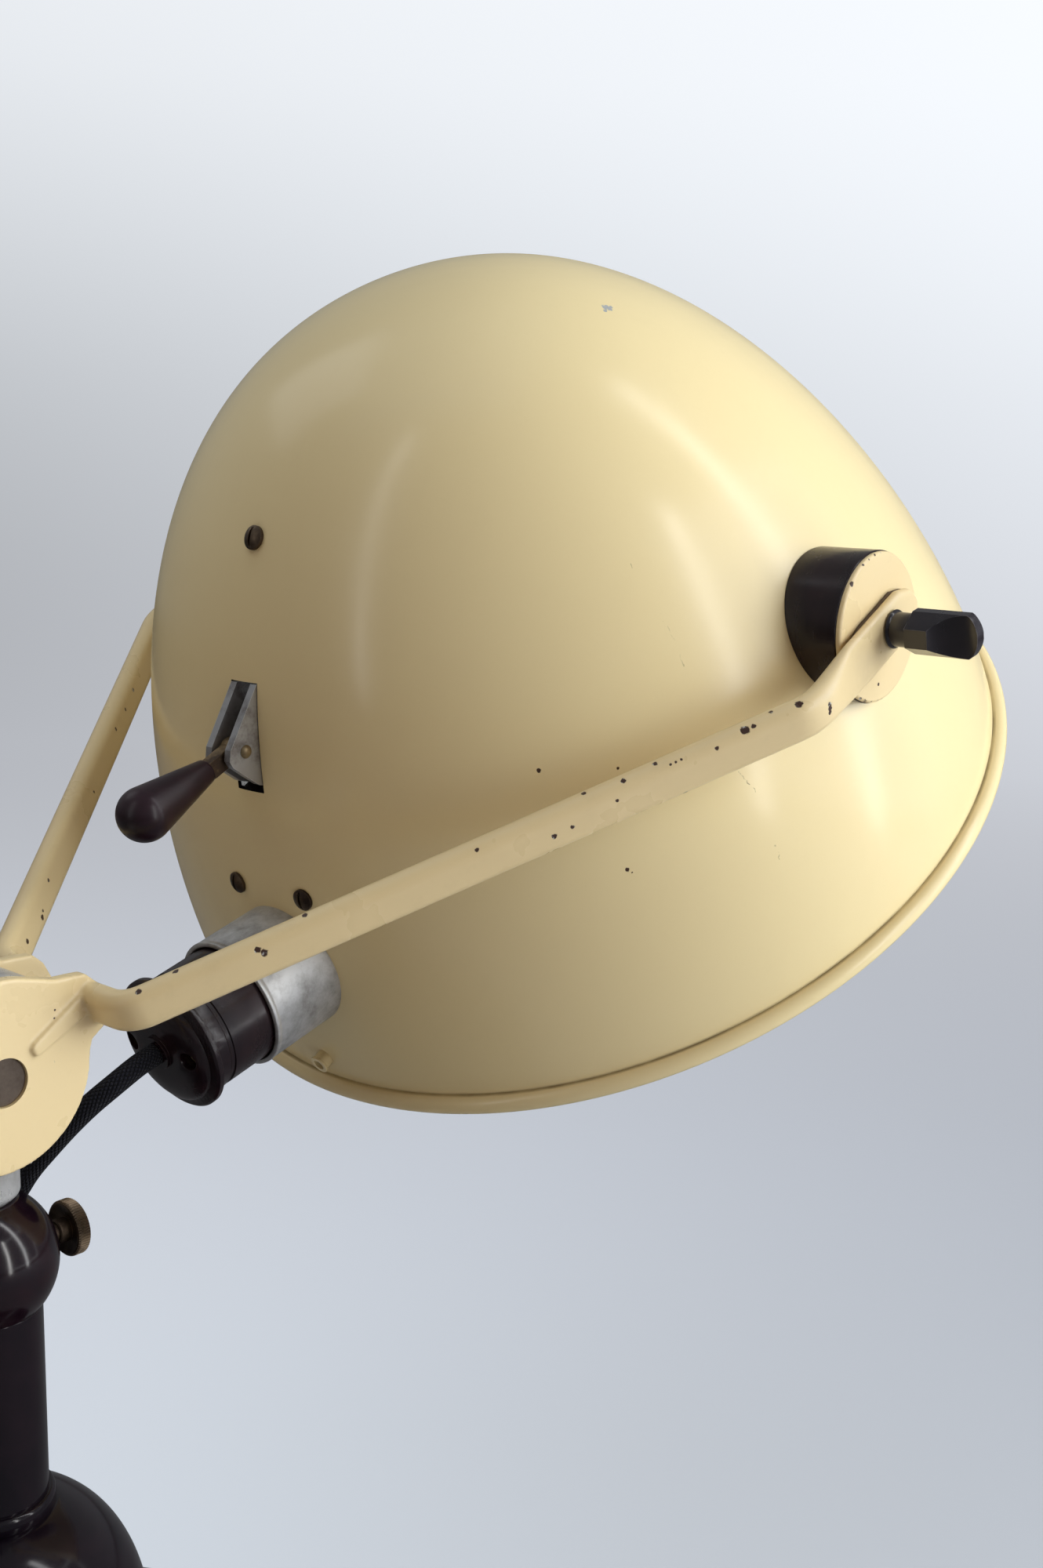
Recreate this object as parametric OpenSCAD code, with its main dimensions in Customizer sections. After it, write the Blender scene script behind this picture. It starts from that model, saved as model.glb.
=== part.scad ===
// Table model of a medical sun lamp: weighted base, ball-headed column, tilting yoke,
// deep enamelled shade with a lever-tilted quartz burner, and a textile mains lead.
// Millimetres, +Z up, the light aims toward +X, the table is z = 0 under the column.

/* [Base] */
// Diameter of the foot
foot_d = 220; // [200:2:240]
// Diameter of the domed pot that rises from the foot
pot_d = 81.6; // [76:0.2:88]
// Height at which the pot starts to close into its crown
pot_h = 53.4; // [50:0.2:60]
// Height of the crown above that level
crown_h = 54.7; // [48:0.1:60]
// Thickness of the cast base wall
cast_t = 3; // [2.5:0.5:4]

/* [Column] */
// Diameter of the column
column_d = 29; // [26:0.5:31]
// Height of the swivel ball's centre
ball_h = 174.5; // [170:0.5:180]
// Diameter of the swivel ball
ball_d = 38; // [36:0.5:40]
// Diameter of the neck above the ball
neck_d = 26; // [24:0.5:26]

/* [Yoke] */
// Height of the yoke's hinge axis
hinge_h = 225; // [224:0.5:230]
// Angle of the yoke above the horizontal
yoke_rise = 28.7; // [20:0.1:35]
// Distance from the hinge axis to the shade's pivot axis
yoke_len = 225; // [222:0.5:228]
// Angle at which each arm spreads from the middle plane
arm_spread = 35.2; // [34:0.1:36]
// Width of the flat-oval arm tube across the yoke's plane
arm_w = 11.7; // [10:0.1:13]
// Thickness of the flat-oval arm tube
arm_t = 6.8; // [6:0.1:7.4]
// Diameter of the cheek discs at the hinge
cheek_d = 49.4; // [48:0.2:52]
// Outer face of each cheek, from the middle plane
cheek_out = 13.5; // [13:0.1:14]
// Thickness of each cheek
cheek_t = 4; // [3:0.5:4]
// Diameter of the hinge pin
pin_d = 12.5; // [11:0.1:13]

/* [Shade] */
// Angle of the light axis below the horizontal
light_drop = 57; // [45:1:70]
// Radius of the shade at its rim
shade_r = 138.2; // [136:0.2:139]
// Height of the shade from rim to crown
shade_h = 184.7; // [180:0.1:190]
// Thickness of the spun sheet
sheet_t = 1.2; // [1:0.1:1.5]
// Height of the pivot axis above the rim
pivot_h = 80.5; // [78:0.5:83]
// Radius of the rolled bead round the rim
bead_r = 3; // [2.5:0.1:3.5]
// Diameter of the pivot bosses
boss_d = 41.7; // [38:0.1:44]
// Outer face of the boss covers, from the middle plane
boss_out = 133; // [132.5:0.1:133.2]

/* [Inlet] */
// Distance of the collar's mouth behind the pivot axis
inlet_back = 157.8; // [155:0.1:160]
// Depth of the collar's mouth below the pivot axis
inlet_drop = 28.8; // [26:0.1:31]
// Rise of the collar's axis, measured in the shade's own frame
inlet_rise = 15.9; // [12:0.1:20]
// Outer diameter of the collar
collar_d = 39; // [38:0.2:40]
// Diameter of the plug's body
plug_d = 35.4; // [34:0.2:35.6]

/* [Lever] */
// Distance of the lever's rivet behind the pivot axis
rivet_back = 116.2; // [115:0.1:118]
// Height of the lever's rivet above the pivot axis
rivet_up = 30.9; // [29:0.1:33]
// Width of the slot in the shade
slot_w = 10.8; // [10.4:0.1:12]
// Length of the lever's handle
handle_l = 30; // [24:0.5:34]
// Greatest diameter of the handle
handle_d = 15.2; // [12:0.2:16]

/* [Lead] */
// Diameter of the textile-covered lead
lead_d = 6.2; // [6:0.1:6.4]
// Turns in each layer of the resting coil
coil_turns = 3; // [2:1:4]
// Radius of the coil's innermost turn
coil_inner_r = 24; // [22:1:28]

/* [Hidden] */
$fn = 72;

// Running fit: radial clearance of a pin in its bore
fit = 0.05;
// Clearance between faces that move past each other
free = 0.3;

// Base levels
felt_t = 1.5;
plate_t = 2;
weight_t = 10;
foot_r = foot_d / 2;
pot_r = pot_d / 2;
rod_d = 10;
crown_flat_r = 16.3;
crown_power = 2.5;
crown_flat_z = pot_h + crown_h * pow(1 - pow(crown_flat_r / pot_r, crown_power), 1 / crown_power);
base_screw_r = 92;

// Column levels
ring_h = 4.6;
ball_r = ball_d / 2;
ball_seat = sqrt(ball_r * ball_r - column_d * column_d / 4);
ball_flat = ball_h + 12.6;
washer_t = 0.6;
neck_foot = ball_flat + washer_t + free;
bush_d = 16;
spigot_d = 12;

// Hinge stack, measured outward from the middle plane
cheek_in = cheek_out - cheek_t;
barrel_half = cheek_in - washer_t - free;
barrel_r = 25.5;

// Yoke path: each arm leaves its cheek square, bends onto the spread line, then into its plate
arm_root_u = 30.2;
corner_v = 26.8;
root_bend_r = 10;
end_bend_r = 16;
arm_end_v = 135.5;
plate_w = 15;
arm_plate_t = 3;
root_bend_v = corner_v - root_bend_r * tan(45 - arm_spread / 2);
arm_end_u = arm_root_u + (arm_end_v - corner_v) / tan(arm_spread)
    + end_bend_r * tan(arm_spread / 2);
flat_u = 207;
// Centre of the cheek discs' outline, from the hinge axis in the yoke's plane
cheek_shift = [0.5, 1];

// Shade pivot, in the lamp's frame
pivot = [yoke_len * cos(yoke_rise), 0, hinge_h + yoke_len * sin(yoke_rise)];
stud_d = 6;
// Axis of the spun shade, from the pivot axis
spin_x = -3;
shade_power = 1.71;
shade_root = 0.453;
shade_steps = 26;

// Wing knob stations, outward from the middle plane
knob_foot = 137.4;
knob_block = 144;
knob_tip = 162.6;
knob_w = 12;
knob_web = 3.2;
knob_bore_end = 151;
stud_end = 150;

// Burner gear, in the shade's frame [back to front, up]
cradle_x = -3;
cradle_z = 8;
drive_x = -72;
drive_z = 16;
drive_d = 4;
tube_z = -14;
tube_r = 8.5;
tube_half = 44;
side_plate_y = 23;
rivet = [-rivet_back, rivet_up];
rivet_d = 3;
bar_t = 4;
tang_w = 3.6;

// Screw heads on the shade: [back, side, up, tilt of the axis above the rear horizon]
top_screw_at = [-78, 0, 74.5, 46.7];
collar_screw_at = [-128.3, 13.9, -11.8, 17.8];
screw_d = 6.4;
shank_d = 4;

// Mains lead, in the lamp's frame
lead_r = lead_d / 2;
lead_sides = 10;
rings_per_span = 3;
coil_pitch = lead_d + 0.7;
coil_center = [-100, 150];
coil_entry = 12;
coil_z = lead_r + 1;
coil_layer = lead_d + 0.6;
coil_outer_r = coil_inner_r + coil_turns * coil_pitch;
coil_steps = 24;
coil_sides = 6;
seam_gap = 0.35;
plug_end_t = 27;
cord_start = head_point([-inlet_back, 0, -inlet_drop]) + plug_end_t * head_turn(inlet_axis());
cord_dir = head_turn(inlet_axis());
upper_join = [14, 24, 165];
lower_join = [-12, 42, 105];
HEAD_ROUTE = [cord_start, cord_start + lead_d * cord_dir, [40, 2, hinge_h - 15.2],
    [29.5, 7, hinge_h - 25], [23.4, 15, hinge_h - 42.2], [18, 20.5, 174], upper_join];
NECK_ROUTE = [upper_join, [7, 28.3, 151], [0, 33, 137], [-6.5, 37.5, 121], lower_join];
DROP_ROUTE = [lower_join, [-18, 51, 85], [-25, 62, 66], [-38, 86, 36], [-46, 106, 17],
    [-50, 124, 7.5], [-53, 141, coil_z], coil_in() - lead_d * coil_tangent(), coil_in()];
mains_turn = 120;
mains_dir = [cos(mains_turn), sin(mains_turn), 0];
mains_rear = [-76, 219, 9.5];
TAIL_ROUTE = [coil_out(), coil_out() + lead_d * coil_tangent(), [-61, 184, 10.4],
    [-66, 200, 9.8], mains_rear - lead_d * mains_dir, mains_rear];

// Directions and places in the shade's frame turned into the lamp's frame
function head_turn(v) = [v[0] * sin(light_drop) - v[2] * cos(light_drop), v[1],
    v[0] * cos(light_drop) + v[2] * sin(light_drop)];
function head_point(p) = pivot + head_turn(p);
function inlet_axis() = [-cos(inlet_rise), 0, sin(inlet_rise)];

// Coil ends: both lie on the same ray, one layer apart
function coil_tangent() = [-sin(coil_entry), cos(coil_entry), 0];
function coil_in() = [coil_center[0] + coil_outer_r * cos(coil_entry),
    coil_center[1] + coil_outer_r * sin(coil_entry), coil_z];
function coil_out() = coil_in() + [0, 0, coil_layer];

// Outer radius of the spun shade at height h above its rim
function shade_radius(h) =
    shade_r * pow(max(0, 1 - pow(h / shade_h, shade_power)), shade_root);
// Heights that crowd toward the crown, where the curve is tightest
function shade_station(i) = shade_h * sin(90 * i / shade_steps);
function shade_curve(inset) = [for (i = [0:shade_steps])
    [shade_radius(shade_station(i)) * (1 - inset / shade_r),
        shade_station(i) * (1 - inset / shade_h)]];
function flip(points) = [for (i = [len(points) - 1:-1:0]) points[i]];

// Arc of points round c, radius [rx, rz], from angle a to b
function arc(c, r, a, b, n) = [for (i = [0:n])
    [c[0] + r[0] * cos(a + (b - a) * i / n), c[1] + r[1] * sin(a + (b - a) * i / n)]];

// Curve through hand-placed points
function span_point(a, b, c, d, t) = 0.5 * (2 * b + (c - a) * t
    + (2 * a - 5 * b + 4 * c - d) * t * t + (3 * b - a - 3 * c + d) * t * t * t);
function before(P, i) = i == 0 ? 2 * P[0] - P[1] : P[i - 1];
function after(P, i) = i + 2 >= len(P) ? 2 * P[len(P) - 1] - P[len(P) - 2] : P[i + 2];
// Stand back at an end where the next stretch moves with another body
function set_back(P, first, last) = [for (i = [0:len(P) - 1])
    i == 0 && first ? P[0] + seam_gap * unit(P[1] - P[0])
    : i == len(P) - 1 && last ? P[i] + seam_gap * unit(P[i - 1] - P[i]) : P[i]];
function curve(P, n) = [for (i = [0:len(P) - 2]) for (k = [0:i == len(P) - 2 ? n : n - 1])
    span_point(before(P, i), P[i], P[i + 1], after(P, i), k / n)];

function unit(v) = v / norm(v);
function tangents(P) = [for (i = [0:len(P) - 1])
    unit(P[min(i + 1, len(P) - 1)] - P[max(i - 1, 0)])];
// Normals carried along the path without twist
function normals(T, first) = [for (i = 0, n = unit(first - (first * T[0]) * T[0]); i < len(T);
    i = i + 1, n = i < len(T) ? unit(n - (n * T[i]) * T[i]) : n) n];

// Solid through a row of rings that have the same number of points
module loft(rings) {
    sides = len(rings[0]);
    last = len(rings) - 1;
    skin = [for (i = [0:last - 1]) for (k = [0:sides - 1])
        let (a = i * sides + k, b = i * sides + (k + 1) % sides)
        each [[a, a + sides, b], [b, a + sides, b + sides]]];
    caps = [for (k = [1:sides - 2]) each [[0, k, k + 1],
        [last * sides, last * sides + k + 1, last * sides + k]]];
    polyhedron([for (ring = rings) each ring], concat(skin, caps));
}
// Solid round tube along a path of points
module tube(P, r, sides) {
    T = tangents(P);
    N = normals(T, [0.1, 0.3, 1]);
    loft([for (i = [0:len(P) - 1]) [for (k = [0:sides - 1])
        P[i] + r * (cos(360 * k / sides) * N[i] + sin(360 * k / sides) * cross(T[i], N[i]))]]);
}

// Centreline of the resting coil: in along the lower layer, out along the upper one
function coil_radius(t) = coil_inner_r + coil_pitch * abs(t - coil_turns);
function coil_rise(t) = coil_layer * climb((t - coil_turns) / 0.5 + 0.5);
function climb(x) = x <= 0 ? 0 : x >= 1 ? 1 : x * x * (3 - 2 * x);
function coil_point(t) = [
    coil_center[0] + coil_radius(t) * cos(coil_entry + 360 * t),
    coil_center[1] + coil_radius(t) * sin(coil_entry + 360 * t), coil_z + coil_rise(t)];
COIL = concat([coil_in(), coil_in() + lead_d * coil_tangent()],
    [for (i = [2:2 * coil_turns * coil_steps - 2]) coil_point(i / coil_steps)],
    [coil_out() - lead_d * coil_tangent(), coil_out()]);
coil_gap = min([for (i = [0:len(COIL) - 1]) for (j = [i + coil_steps / 2:1:len(COIL) - 1])
    norm(COIL[i] - COIL[j])]) - lead_d;
echo(coil_least_gap = coil_gap);

module at_yoke() {
    translate([0, 0, hinge_h]) rotate([0, -yoke_rise, 0]) children();
}
module at_head() {
    translate(pivot) rotate([0, light_drop - 90, 0]) children();
}
// Shade's own spin axis, with its rim at z = 0
module at_rim() {
    at_head() translate([spin_x, 0, -pivot_h]) children();
}
// Collar's mouth, with +Z out along the plug
module at_inlet() {
    at_head() translate([-inlet_back, 0, -inlet_drop]) rotate([0, inlet_rise - 90, 0]) children();
}
// Side of the lamp: 1 is left (+Y), -1 is right; +Z of the child points outward
module at_side(side) {
    rotate([-90 * side, 0, 0]) children();
}
module disc(d, from, to) {
    translate([0, 0, from]) cylinder(d = d, h = to - from);
}
// Solid body of the shade's outer or inner skin
module shade_solid(inset) {
    rotate_extrude() polygon(concat([[0, -0.01]], shade_curve(inset)));
}
module slotted_head(d, h) {
    difference() {
        intersection() {
            translate([0, 0, h - d * 0.75]) sphere(r = d * 0.75);
            cylinder(d = d, h = h);
        }
        translate([-d, -0.5, h - 0.9]) cube([2 * d, 1, 2]);
    }
}
// Screw whose head seats at the origin and whose axis is +Z
module slotted_screw(d, h, shank_d, shank) {
    slotted_head(d, h);
    disc(shank_d, -shank, 0);
}
// Seat of a screw on the shade, square to the skin there
module at_screw(place, side) {
    translate([place[0], side * place[1], place[2]])
        rotate([0, 0, -side * atan2(place[1], spin_x - place[0])])
            rotate([0, place[3] - 90, 0]) children();
}
// Upright plate in the middle plane's direction, centred at y
module upright(y, t) {
    translate([0, y + t / 2, 0]) rotate([90, 0, 0]) linear_extrude(t) children();
}
// Flat strap with round ends, from a to b in the plane of an upright
module strap(a, b, w) {
    d = b - a;
    translate(a) rotate(atan2(d[1], d[0])) polygon(concat(
        arc([norm(d), 0], [w / 2, w / 2], -90, 90, 8), arc([0, 0], [w / 2, w / 2], 90, 270, 8)));
}

module base_felt() {
    color("#3c4a38") difference() {
        cylinder(r = foot_r - 4, h = felt_t);
        for (a = [45:90:315]) rotate(a) translate([base_screw_r, 0, -1]) cylinder(d = 11, h = 9);
    }
}
module base_plate() {
    color("#6d6f70") difference() {
        disc(foot_d - 8, felt_t, felt_t + plate_t);
        for (a = [45:90:315]) rotate(a) translate([base_screw_r, 0, 0]) cylinder(d = 4.4, h = 9);
    }
}
module base_screws() {
    color("#8d8f90") for (a = [45:90:315]) rotate(a) translate([base_screw_r, 0, felt_t])
        rotate([180, 0, 0]) slotted_screw(8, 1.3, 4.2, 9);
}
module base_weight() {
    z = felt_t + plate_t;
    color("#3a3b3d") difference() {
        union() {
            disc(2 * (base_screw_r - 7), z, z + weight_t);
            disc(60, z + weight_t, z + weight_t + 8);
        }
        disc(rod_d + 0.4, 0, 60);
        disc(22, 0, z + 9);
    }
}
module base_cover() {
    rim_z = 1.2;
    crown = [for (i = [0:16]) let (a = 8 + 82 * i / 16)
        [pot_r * pow(sin(a), 2 / crown_power), pot_h + crown_h * pow(cos(a), 2 / crown_power)]];
    outer = concat([[crown_flat_r, crown_flat_z]], [for (p = crown) if (p[0] > crown_flat_r + 1) p],
        arc([pot_r + 34, pot_h - 8], [34, 27.4], 180, 270, 10),
        arc([foot_r - 12, 8], [12, 8], 80, 0, 8), [[foot_r, rim_z]]);
    inner = concat([[foot_r - cast_t, rim_z]],
        arc([foot_r - 12, 8], [12 - cast_t, 8 - cast_t], 0, 80, 6),
        arc([pot_r + 34, pot_h - 8], [34 + cast_t, 27.4 + cast_t], 270, 180, 10),
        [for (p = flip(crown)) if (p[0] > crown_flat_r + 1) [p[0] - cast_t, p[1] - cast_t]],
        [[crown_flat_r - cast_t, crown_flat_z - cast_t]]);
    color("#1a1416") difference() {
        union() {
            rotate_extrude($fn = 96) polygon(concat([[0, crown_flat_z]], outer, inner,
                [[0, crown_flat_z - cast_t]]));
            for (a = [45:90:315]) rotate(a) translate([base_screw_r, 0, felt_t + plate_t])
                cylinder(d = 10, h = 10.5);
        }
        disc(rod_d + 0.6, 90, 120);
        for (a = [45:90:315]) rotate(a) translate([base_screw_r, 0, 0]) cylinder(d = 4.2, h = 11);
    }
}
module tie_rod() {
    color("#8d8f90") {
        disc(rod_d, felt_t + plate_t + 1, ball_h - 6);
        translate([0, 0, felt_t + plate_t + 1]) cylinder(d = 19, h = 7.5, $fn = 6);
    }
}
module column() {
    color("#1a1416") difference() {
        disc(column_d, crown_flat_z, ball_h - ball_seat);
        disc(column_d - 6, crown_flat_z - 1, ball_h);
    }
}
module column_ring() {
    color("#1a1416") translate([0, 0, crown_flat_z]) rotate_extrude() polygon([[column_d / 2, 0],
        [16.1, 0], [16.1, ring_h - 1], [15.4, ring_h], [column_d / 2, ring_h]]);
}
module ball_head() {
    color("#1f151c") difference() {
        translate([0, 0, ball_h]) sphere(d = ball_d, $fn = 96);
        disc(ball_d, 0, ball_h - ball_seat);
        disc(ball_d, ball_flat, ball_h + ball_d);
        disc(bush_d, ball_h - 9, ball_h + ball_d);
        disc(rod_d, ball_h - ball_d, ball_h);
        translate([0, 0, ball_h]) rotate([0, 90, 0]) disc(5 + 2 * fit, 0, ball_d);
    }
}
module ball_bush() {
    color("#b08d4a") difference() {
        disc(bush_d, ball_h - 5.9, ball_flat);
        disc(spigot_d + 2 * fit, ball_h - 4, ball_h + ball_d);
        translate([0, 0, ball_h]) rotate([0, 90, 0]) disc(5 + 2 * fit, 0, ball_d);
    }
}
module swivel_washer() {
    color("#4a3a30") difference() {
        disc(neck_d - 1, ball_flat, ball_flat + washer_t);
        disc(spigot_d + 1, 0, hinge_h);
    }
}
module clamp_screw() {
    grips = 28;
    color("#8a7355") translate([0, 0, ball_h]) rotate([0, 90, 0]) difference() {
        union() {
            disc(5, 5.8, 26.5);
            disc(9, 22.5, 26.5);
            disc(15.6, 26.2, 32);
        }
        for (a = [0:360 / grips:359]) rotate(a) translate([8.1, 0, 27]) cylinder(d = 1.1, h = 4.2,
            $fn = 14);
    }
}
module swivel_neck() {
    color("#b9b9b5") difference() {
        union() {
            translate([0, barrel_half, hinge_h]) rotate([90, 0, 0])
                cylinder(r = barrel_r, h = 2 * barrel_half, $fn = 96);
            rotate_extrude() polygon(concat([[0, neck_foot]],
                arc([neck_d / 2 - 2.4, neck_foot + 2.4], [2.4, 2.4], -90, 0, 6),
                [[neck_d / 2, hinge_h - 18], [0, hinge_h - 18]]));
            disc(spigot_d, ball_h - 3.6, neck_foot + 1);
        }
        translate([0, 40, hinge_h]) rotate([90, 0, 0]) cylinder(d = pin_d + 2 * fit, h = 80);
        for (side = [-1, 1]) translate([-neck_d, side > 0 ? barrel_half : -barrel_half - neck_d,
            hinge_h - cheek_d / 2 - free]) cube([2 * neck_d, neck_d, 2 * barrel_r]);
        translate([0, 0, ball_h - 3]) difference() {
            cylinder(d = 20, h = 6);
            translate([0, 0, -1]) cylinder(d = 10.4, h = 8);
        }
        translate([0, -neck_d / 2, hinge_h - 31]) rotate([90, 0, 0])
            translate([0, 0, -1]) cylinder(d = 2.4, h = 3);
    }
}
module hinge_pin() {
    half = cheek_out - 0.8;
    color("#a98a52") translate([0, half, hinge_h]) rotate([90, 0, 0]) cylinder(d = pin_d, h = 2 * half);
}
module hinge_washers() {
    color("#4a3a30") translate([0, 0, hinge_h]) for (side = [-1, 1]) at_side(side)
        difference() {
            disc(34, cheek_in - washer_t, cheek_in);
            disc(pin_d + 1, 0, 40);
        }
}

// Flat-oval ring square to the heading, w wide and t thick
function oval_ring(u, v, heading, w, t) = [for (side = [1, -1]) for (a = [0:18:180])
    let (out = side * t / 2 * cos(a))
    [u - out * sin(heading), v + out * cos(heading), side * ((w - t) / 2 + t / 2 * sin(a))]];
// Rings of one arm: square root, root bend, end bend, then the flattening toward the plate
function arm_rings() = concat(
    [oval_ring(arm_root_u, cheek_in + 1, 90, arm_w, arm_t)],
    [for (i = [0:7]) let (a = 90 - (90 - arm_spread) * i / 7)
        oval_ring(arm_root_u + root_bend_r * (1 - sin(a)), root_bend_v + root_bend_r * cos(a), a,
            arm_w, arm_t)],
    [for (i = [6:-1:0]) let (a = arm_spread * i / 6) oval_ring(arm_end_u - end_bend_r * sin(a),
        arm_end_v - end_bend_r * (1 - cos(a)), a, arm_w, arm_t)],
    [for (i = [1:4]) let (s = climb(i / 4)) oval_ring(arm_end_u + (flat_u + 1 - arm_end_u) * i / 4,
        arm_end_v, 0, arm_w + (plate_w - 0.2 - arm_w) * s, arm_t + (arm_plate_t - 0.2 - arm_t) * s)]);

// One arm in the yoke's frame: X along the yoke, Y outward, Z across its plane
module arm() {
    difference() {
        union() {
            translate([cheek_shift[0], cheek_out, cheek_shift[1]]) rotate([90, 0, 0])
                cylinder(d = cheek_d, h = cheek_t);
            // Ear that carries the arm's root
            upright(cheek_out - cheek_t / 2, cheek_t - 0.4) polygon([[0, 20], [17.5, 18.6],
                [20.3, 16.3], [24.3, 12.6], [28.4, 10.2], [31.8, 8], [33.2, 4], [33.2, -4],
                [31.8, -7], [24.7, -8], [21.6, -11.2], [18.5, -15], [0, -20]]);
            // Embossed rib from near the pin to the root
            upright(cheek_out + 0.4, 1.6) polygon([[9.5, 0.3], [11, -0.2], [28, -0.6], [28, 5.2],
                [11, 3.6], [9.5, 2.9]]);
            loft(arm_rings());
            upright(arm_end_v, arm_plate_t) polygon([[flat_u, -plate_w / 2], [232, -plate_w / 2],
                [237.8, -5], [240.4, -1.6], [239.6, 2], [236.2, 5.2], [232, plate_w / 2],
                [flat_u, plate_w / 2]]);
        }
        translate([0, 40, 0]) rotate([90, 0, 0]) cylinder(d = pin_d, h = 80);
        translate([yoke_len, arm_end_v + 10, 0]) rotate([90, 0, 0])
            cylinder(d = stud_d + 2 * fit, h = 20);
    }
}
module right_arm() {
    color("#ead9ae") at_yoke() mirror([0, 1, 0]) arm();
}
module left_arm() {
    color("#ead9ae") at_yoke() arm();
}

module shade() {
    color("#ead9ae") difference() {
        at_rim() rotate_extrude($fn = 120) polygon(concat(shade_curve(0), flip(shade_curve(sheet_t))));
        at_head() {
            translate([-126, -slot_w / 2, 17]) cube([30, slot_w, 27.2]);
            for (side = [-1, 1]) at_side(side) disc(stud_d + 0.6, 90, 150);
            at_screw(top_screw_at, 1) disc(shank_d + 0.4, -8, 8);
            for (side = [-1, 1]) at_screw(collar_screw_at, side) disc(shank_d + 0.4, -8, 8);
            translate([-144, 0, -69.8]) rotate([0, 90, 0]) disc(5.6, -1, 10);
        }
        at_inlet() disc(32, -40, 0);
    }
}
module rim_ring() {
    color("#d9c594") at_rim() difference() {
        rotate_extrude($fn = 120) translate([shade_r + 0.8, 0]) circle(r = bead_r, $fn = 28);
        rotate_extrude($fn = 120) translate([shade_r - 1.6, 0]) square([1.7, bead_r + 1]);
    }
}
module boss(side) {
    color("#1f151c") difference() {
        at_head() at_side(side) disc(boss_d, 104, boss_out - 1.5);
        at_rim() shade_solid(0);
        at_head() at_side(side) disc(stud_d, 90, 150);
    }
}
module right_boss() boss(-1);
module left_boss() boss(1);
module cover(side) {
    color("#e9dcb8") at_head() at_side(side) difference() {
        rotate_extrude() polygon([[0, boss_out - 1.5], [boss_d / 2 - 0.3, boss_out - 1.5],
            [boss_d / 2 - 0.3, boss_out - 0.5], [boss_d / 2 - 0.9, boss_out], [0, boss_out]]);
        disc(stud_d, 90, 150);
    }
}
module right_cover() cover(-1);
module left_cover() cover(1);
// Stud with a hexagon head and a saddle pad that fits the inside of the sheet
module stud(side) {
    color("#8d8f90") {
        at_head() at_side(side) disc(stud_d, 112, stud_end);
        at_head() at_side(side) translate([0, 0, 110]) cylinder(d = 12, h = 4.5, $fn = 6);
        intersection() {
            at_head() at_side(side) disc(20, 114.5, 126);
            at_rim() shade_solid(sheet_t);
        }
    }
}
module right_stud() stud(-1);
module left_stud() stud(1);
module boss_washers() {
    color("#4a3a30") at_head() for (side = [-1, 1]) at_side(side) difference() {
        disc(13, boss_out, boss_out + 0.6);
        disc(stud_d, 90, 150);
    }
}
// Wing knob: round shank, square block, scooped to a thin rounded web
module knob(side) {
    scoop = 10;
    color("#2a1d24") at_head() at_side(side) difference() {
        union() {
            disc(14, knob_foot, knob_foot + 1.4);
            disc(knob_w, knob_foot, knob_block + 1);
            intersection() {
                translate([-knob_w / 2, -knob_w / 2, knob_block])
                    cube([knob_w, knob_w, knob_tip - knob_block]);
                translate([0, 0, knob_tip - 9]) rotate([0, 90, 0])
                    cylinder(r = 9, h = 20, center = true);
                disc(knob_w * 1.3, knob_block, knob_tip);
            }
            translate([-knob_w / 2, -knob_w / 2, knob_block]) cube([knob_w, knob_w, 8]);
        }
        for (x = [-1, 1]) translate([x * (knob_web / 2 + scoop), 0, knob_tip - 2.6])
            rotate([90, 0, 0]) cylinder(r = scoop, h = 20, center = true);
        disc(stud_d + 2 * fit, 130, knob_bore_end);
    }
}
module right_knob() knob(-1);
module left_knob() knob(1);

module collar() {
    color("#b9b9b5") difference() {
        at_inlet() union() {
            disc(collar_d, -40, -0.6);
            disc(collar_d - 0.8, -0.6, 0);
            translate([-3, -collar_d / 2 - 1, -9]) cube([6, 4, 7]);
        }
        at_inlet() disc(36, -50, 5);
        at_rim() shade_solid(0);
    }
}
module inlet_insulator() {
    color("#e8e4d8") at_inlet() difference() {
        union() {
            disc(35.8, -20.5, -14);
            disc(31.6, -32, -20.5);
        }
        for (y = [-9.5, 9.5]) translate([0, y, 0]) disc(6, -60, 5);
    }
}
module inlet_pins() {
    color("#b08d4a") at_inlet() for (y = [-9.5, 9.5]) translate([0, y, 0]) disc(6, -38, 3);
}
module collar_screws() {
    color("#8a6a42") at_head() for (side = [-1, 1])
        at_screw(collar_screw_at, side) slotted_screw(screw_d, 2, shank_d, 9);
}
module top_screw() {
    color("#8a6a42") at_head() at_screw(top_screw_at, 1)
        slotted_screw(screw_d + 0.4, 2.2, shank_d, 10);
}
module vent_eyelet() {
    color("#ead9ae") at_head() translate([-144.1, 0, -69.8]) rotate([0, 90, 0]) difference() {
        union() {
            disc(5.5, 0, 9);
            disc(6.1, 0, 0.7);
        }
        disc(3.5, -1, 12);
    }
}
module plug_front() {
    color("#1f151c") at_inlet() difference() {
        disc(plug_d, -13.7, 15.6);
        for (y = [-9.5, 9.5]) translate([0, y, 0]) disc(6.6, -20, 8);
        rotate_extrude() translate([plug_d / 2 - 0.4, 13.9]) square([2, 1.2]);
    }
}
module plug_back() {
    color("#1f151c") at_inlet() difference() {
        rotate_extrude() polygon(concat([[0, 15.6], [plug_d / 2, 15.6], [plug_d / 2, 19.6],
            [19.8, 20.2], [19.8, 21.6], [19.2, 22.2], [17, 22.6]],
            arc([8.5, 22.8], [8.5, 3.2], 10, 90, 6), [[4.9, 26], [4.9, plug_end_t], [0, plug_end_t]]));
        for (y = [-12, 12]) translate([0, y, 22.3]) disc(5.4, 0, 5);
    }
}
module plug_screws() {
    color("#8a6a42") at_inlet() for (y = [-12, 12]) translate([0, y, 22.3]) slotted_head(4.8, 1.3);
}

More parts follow.
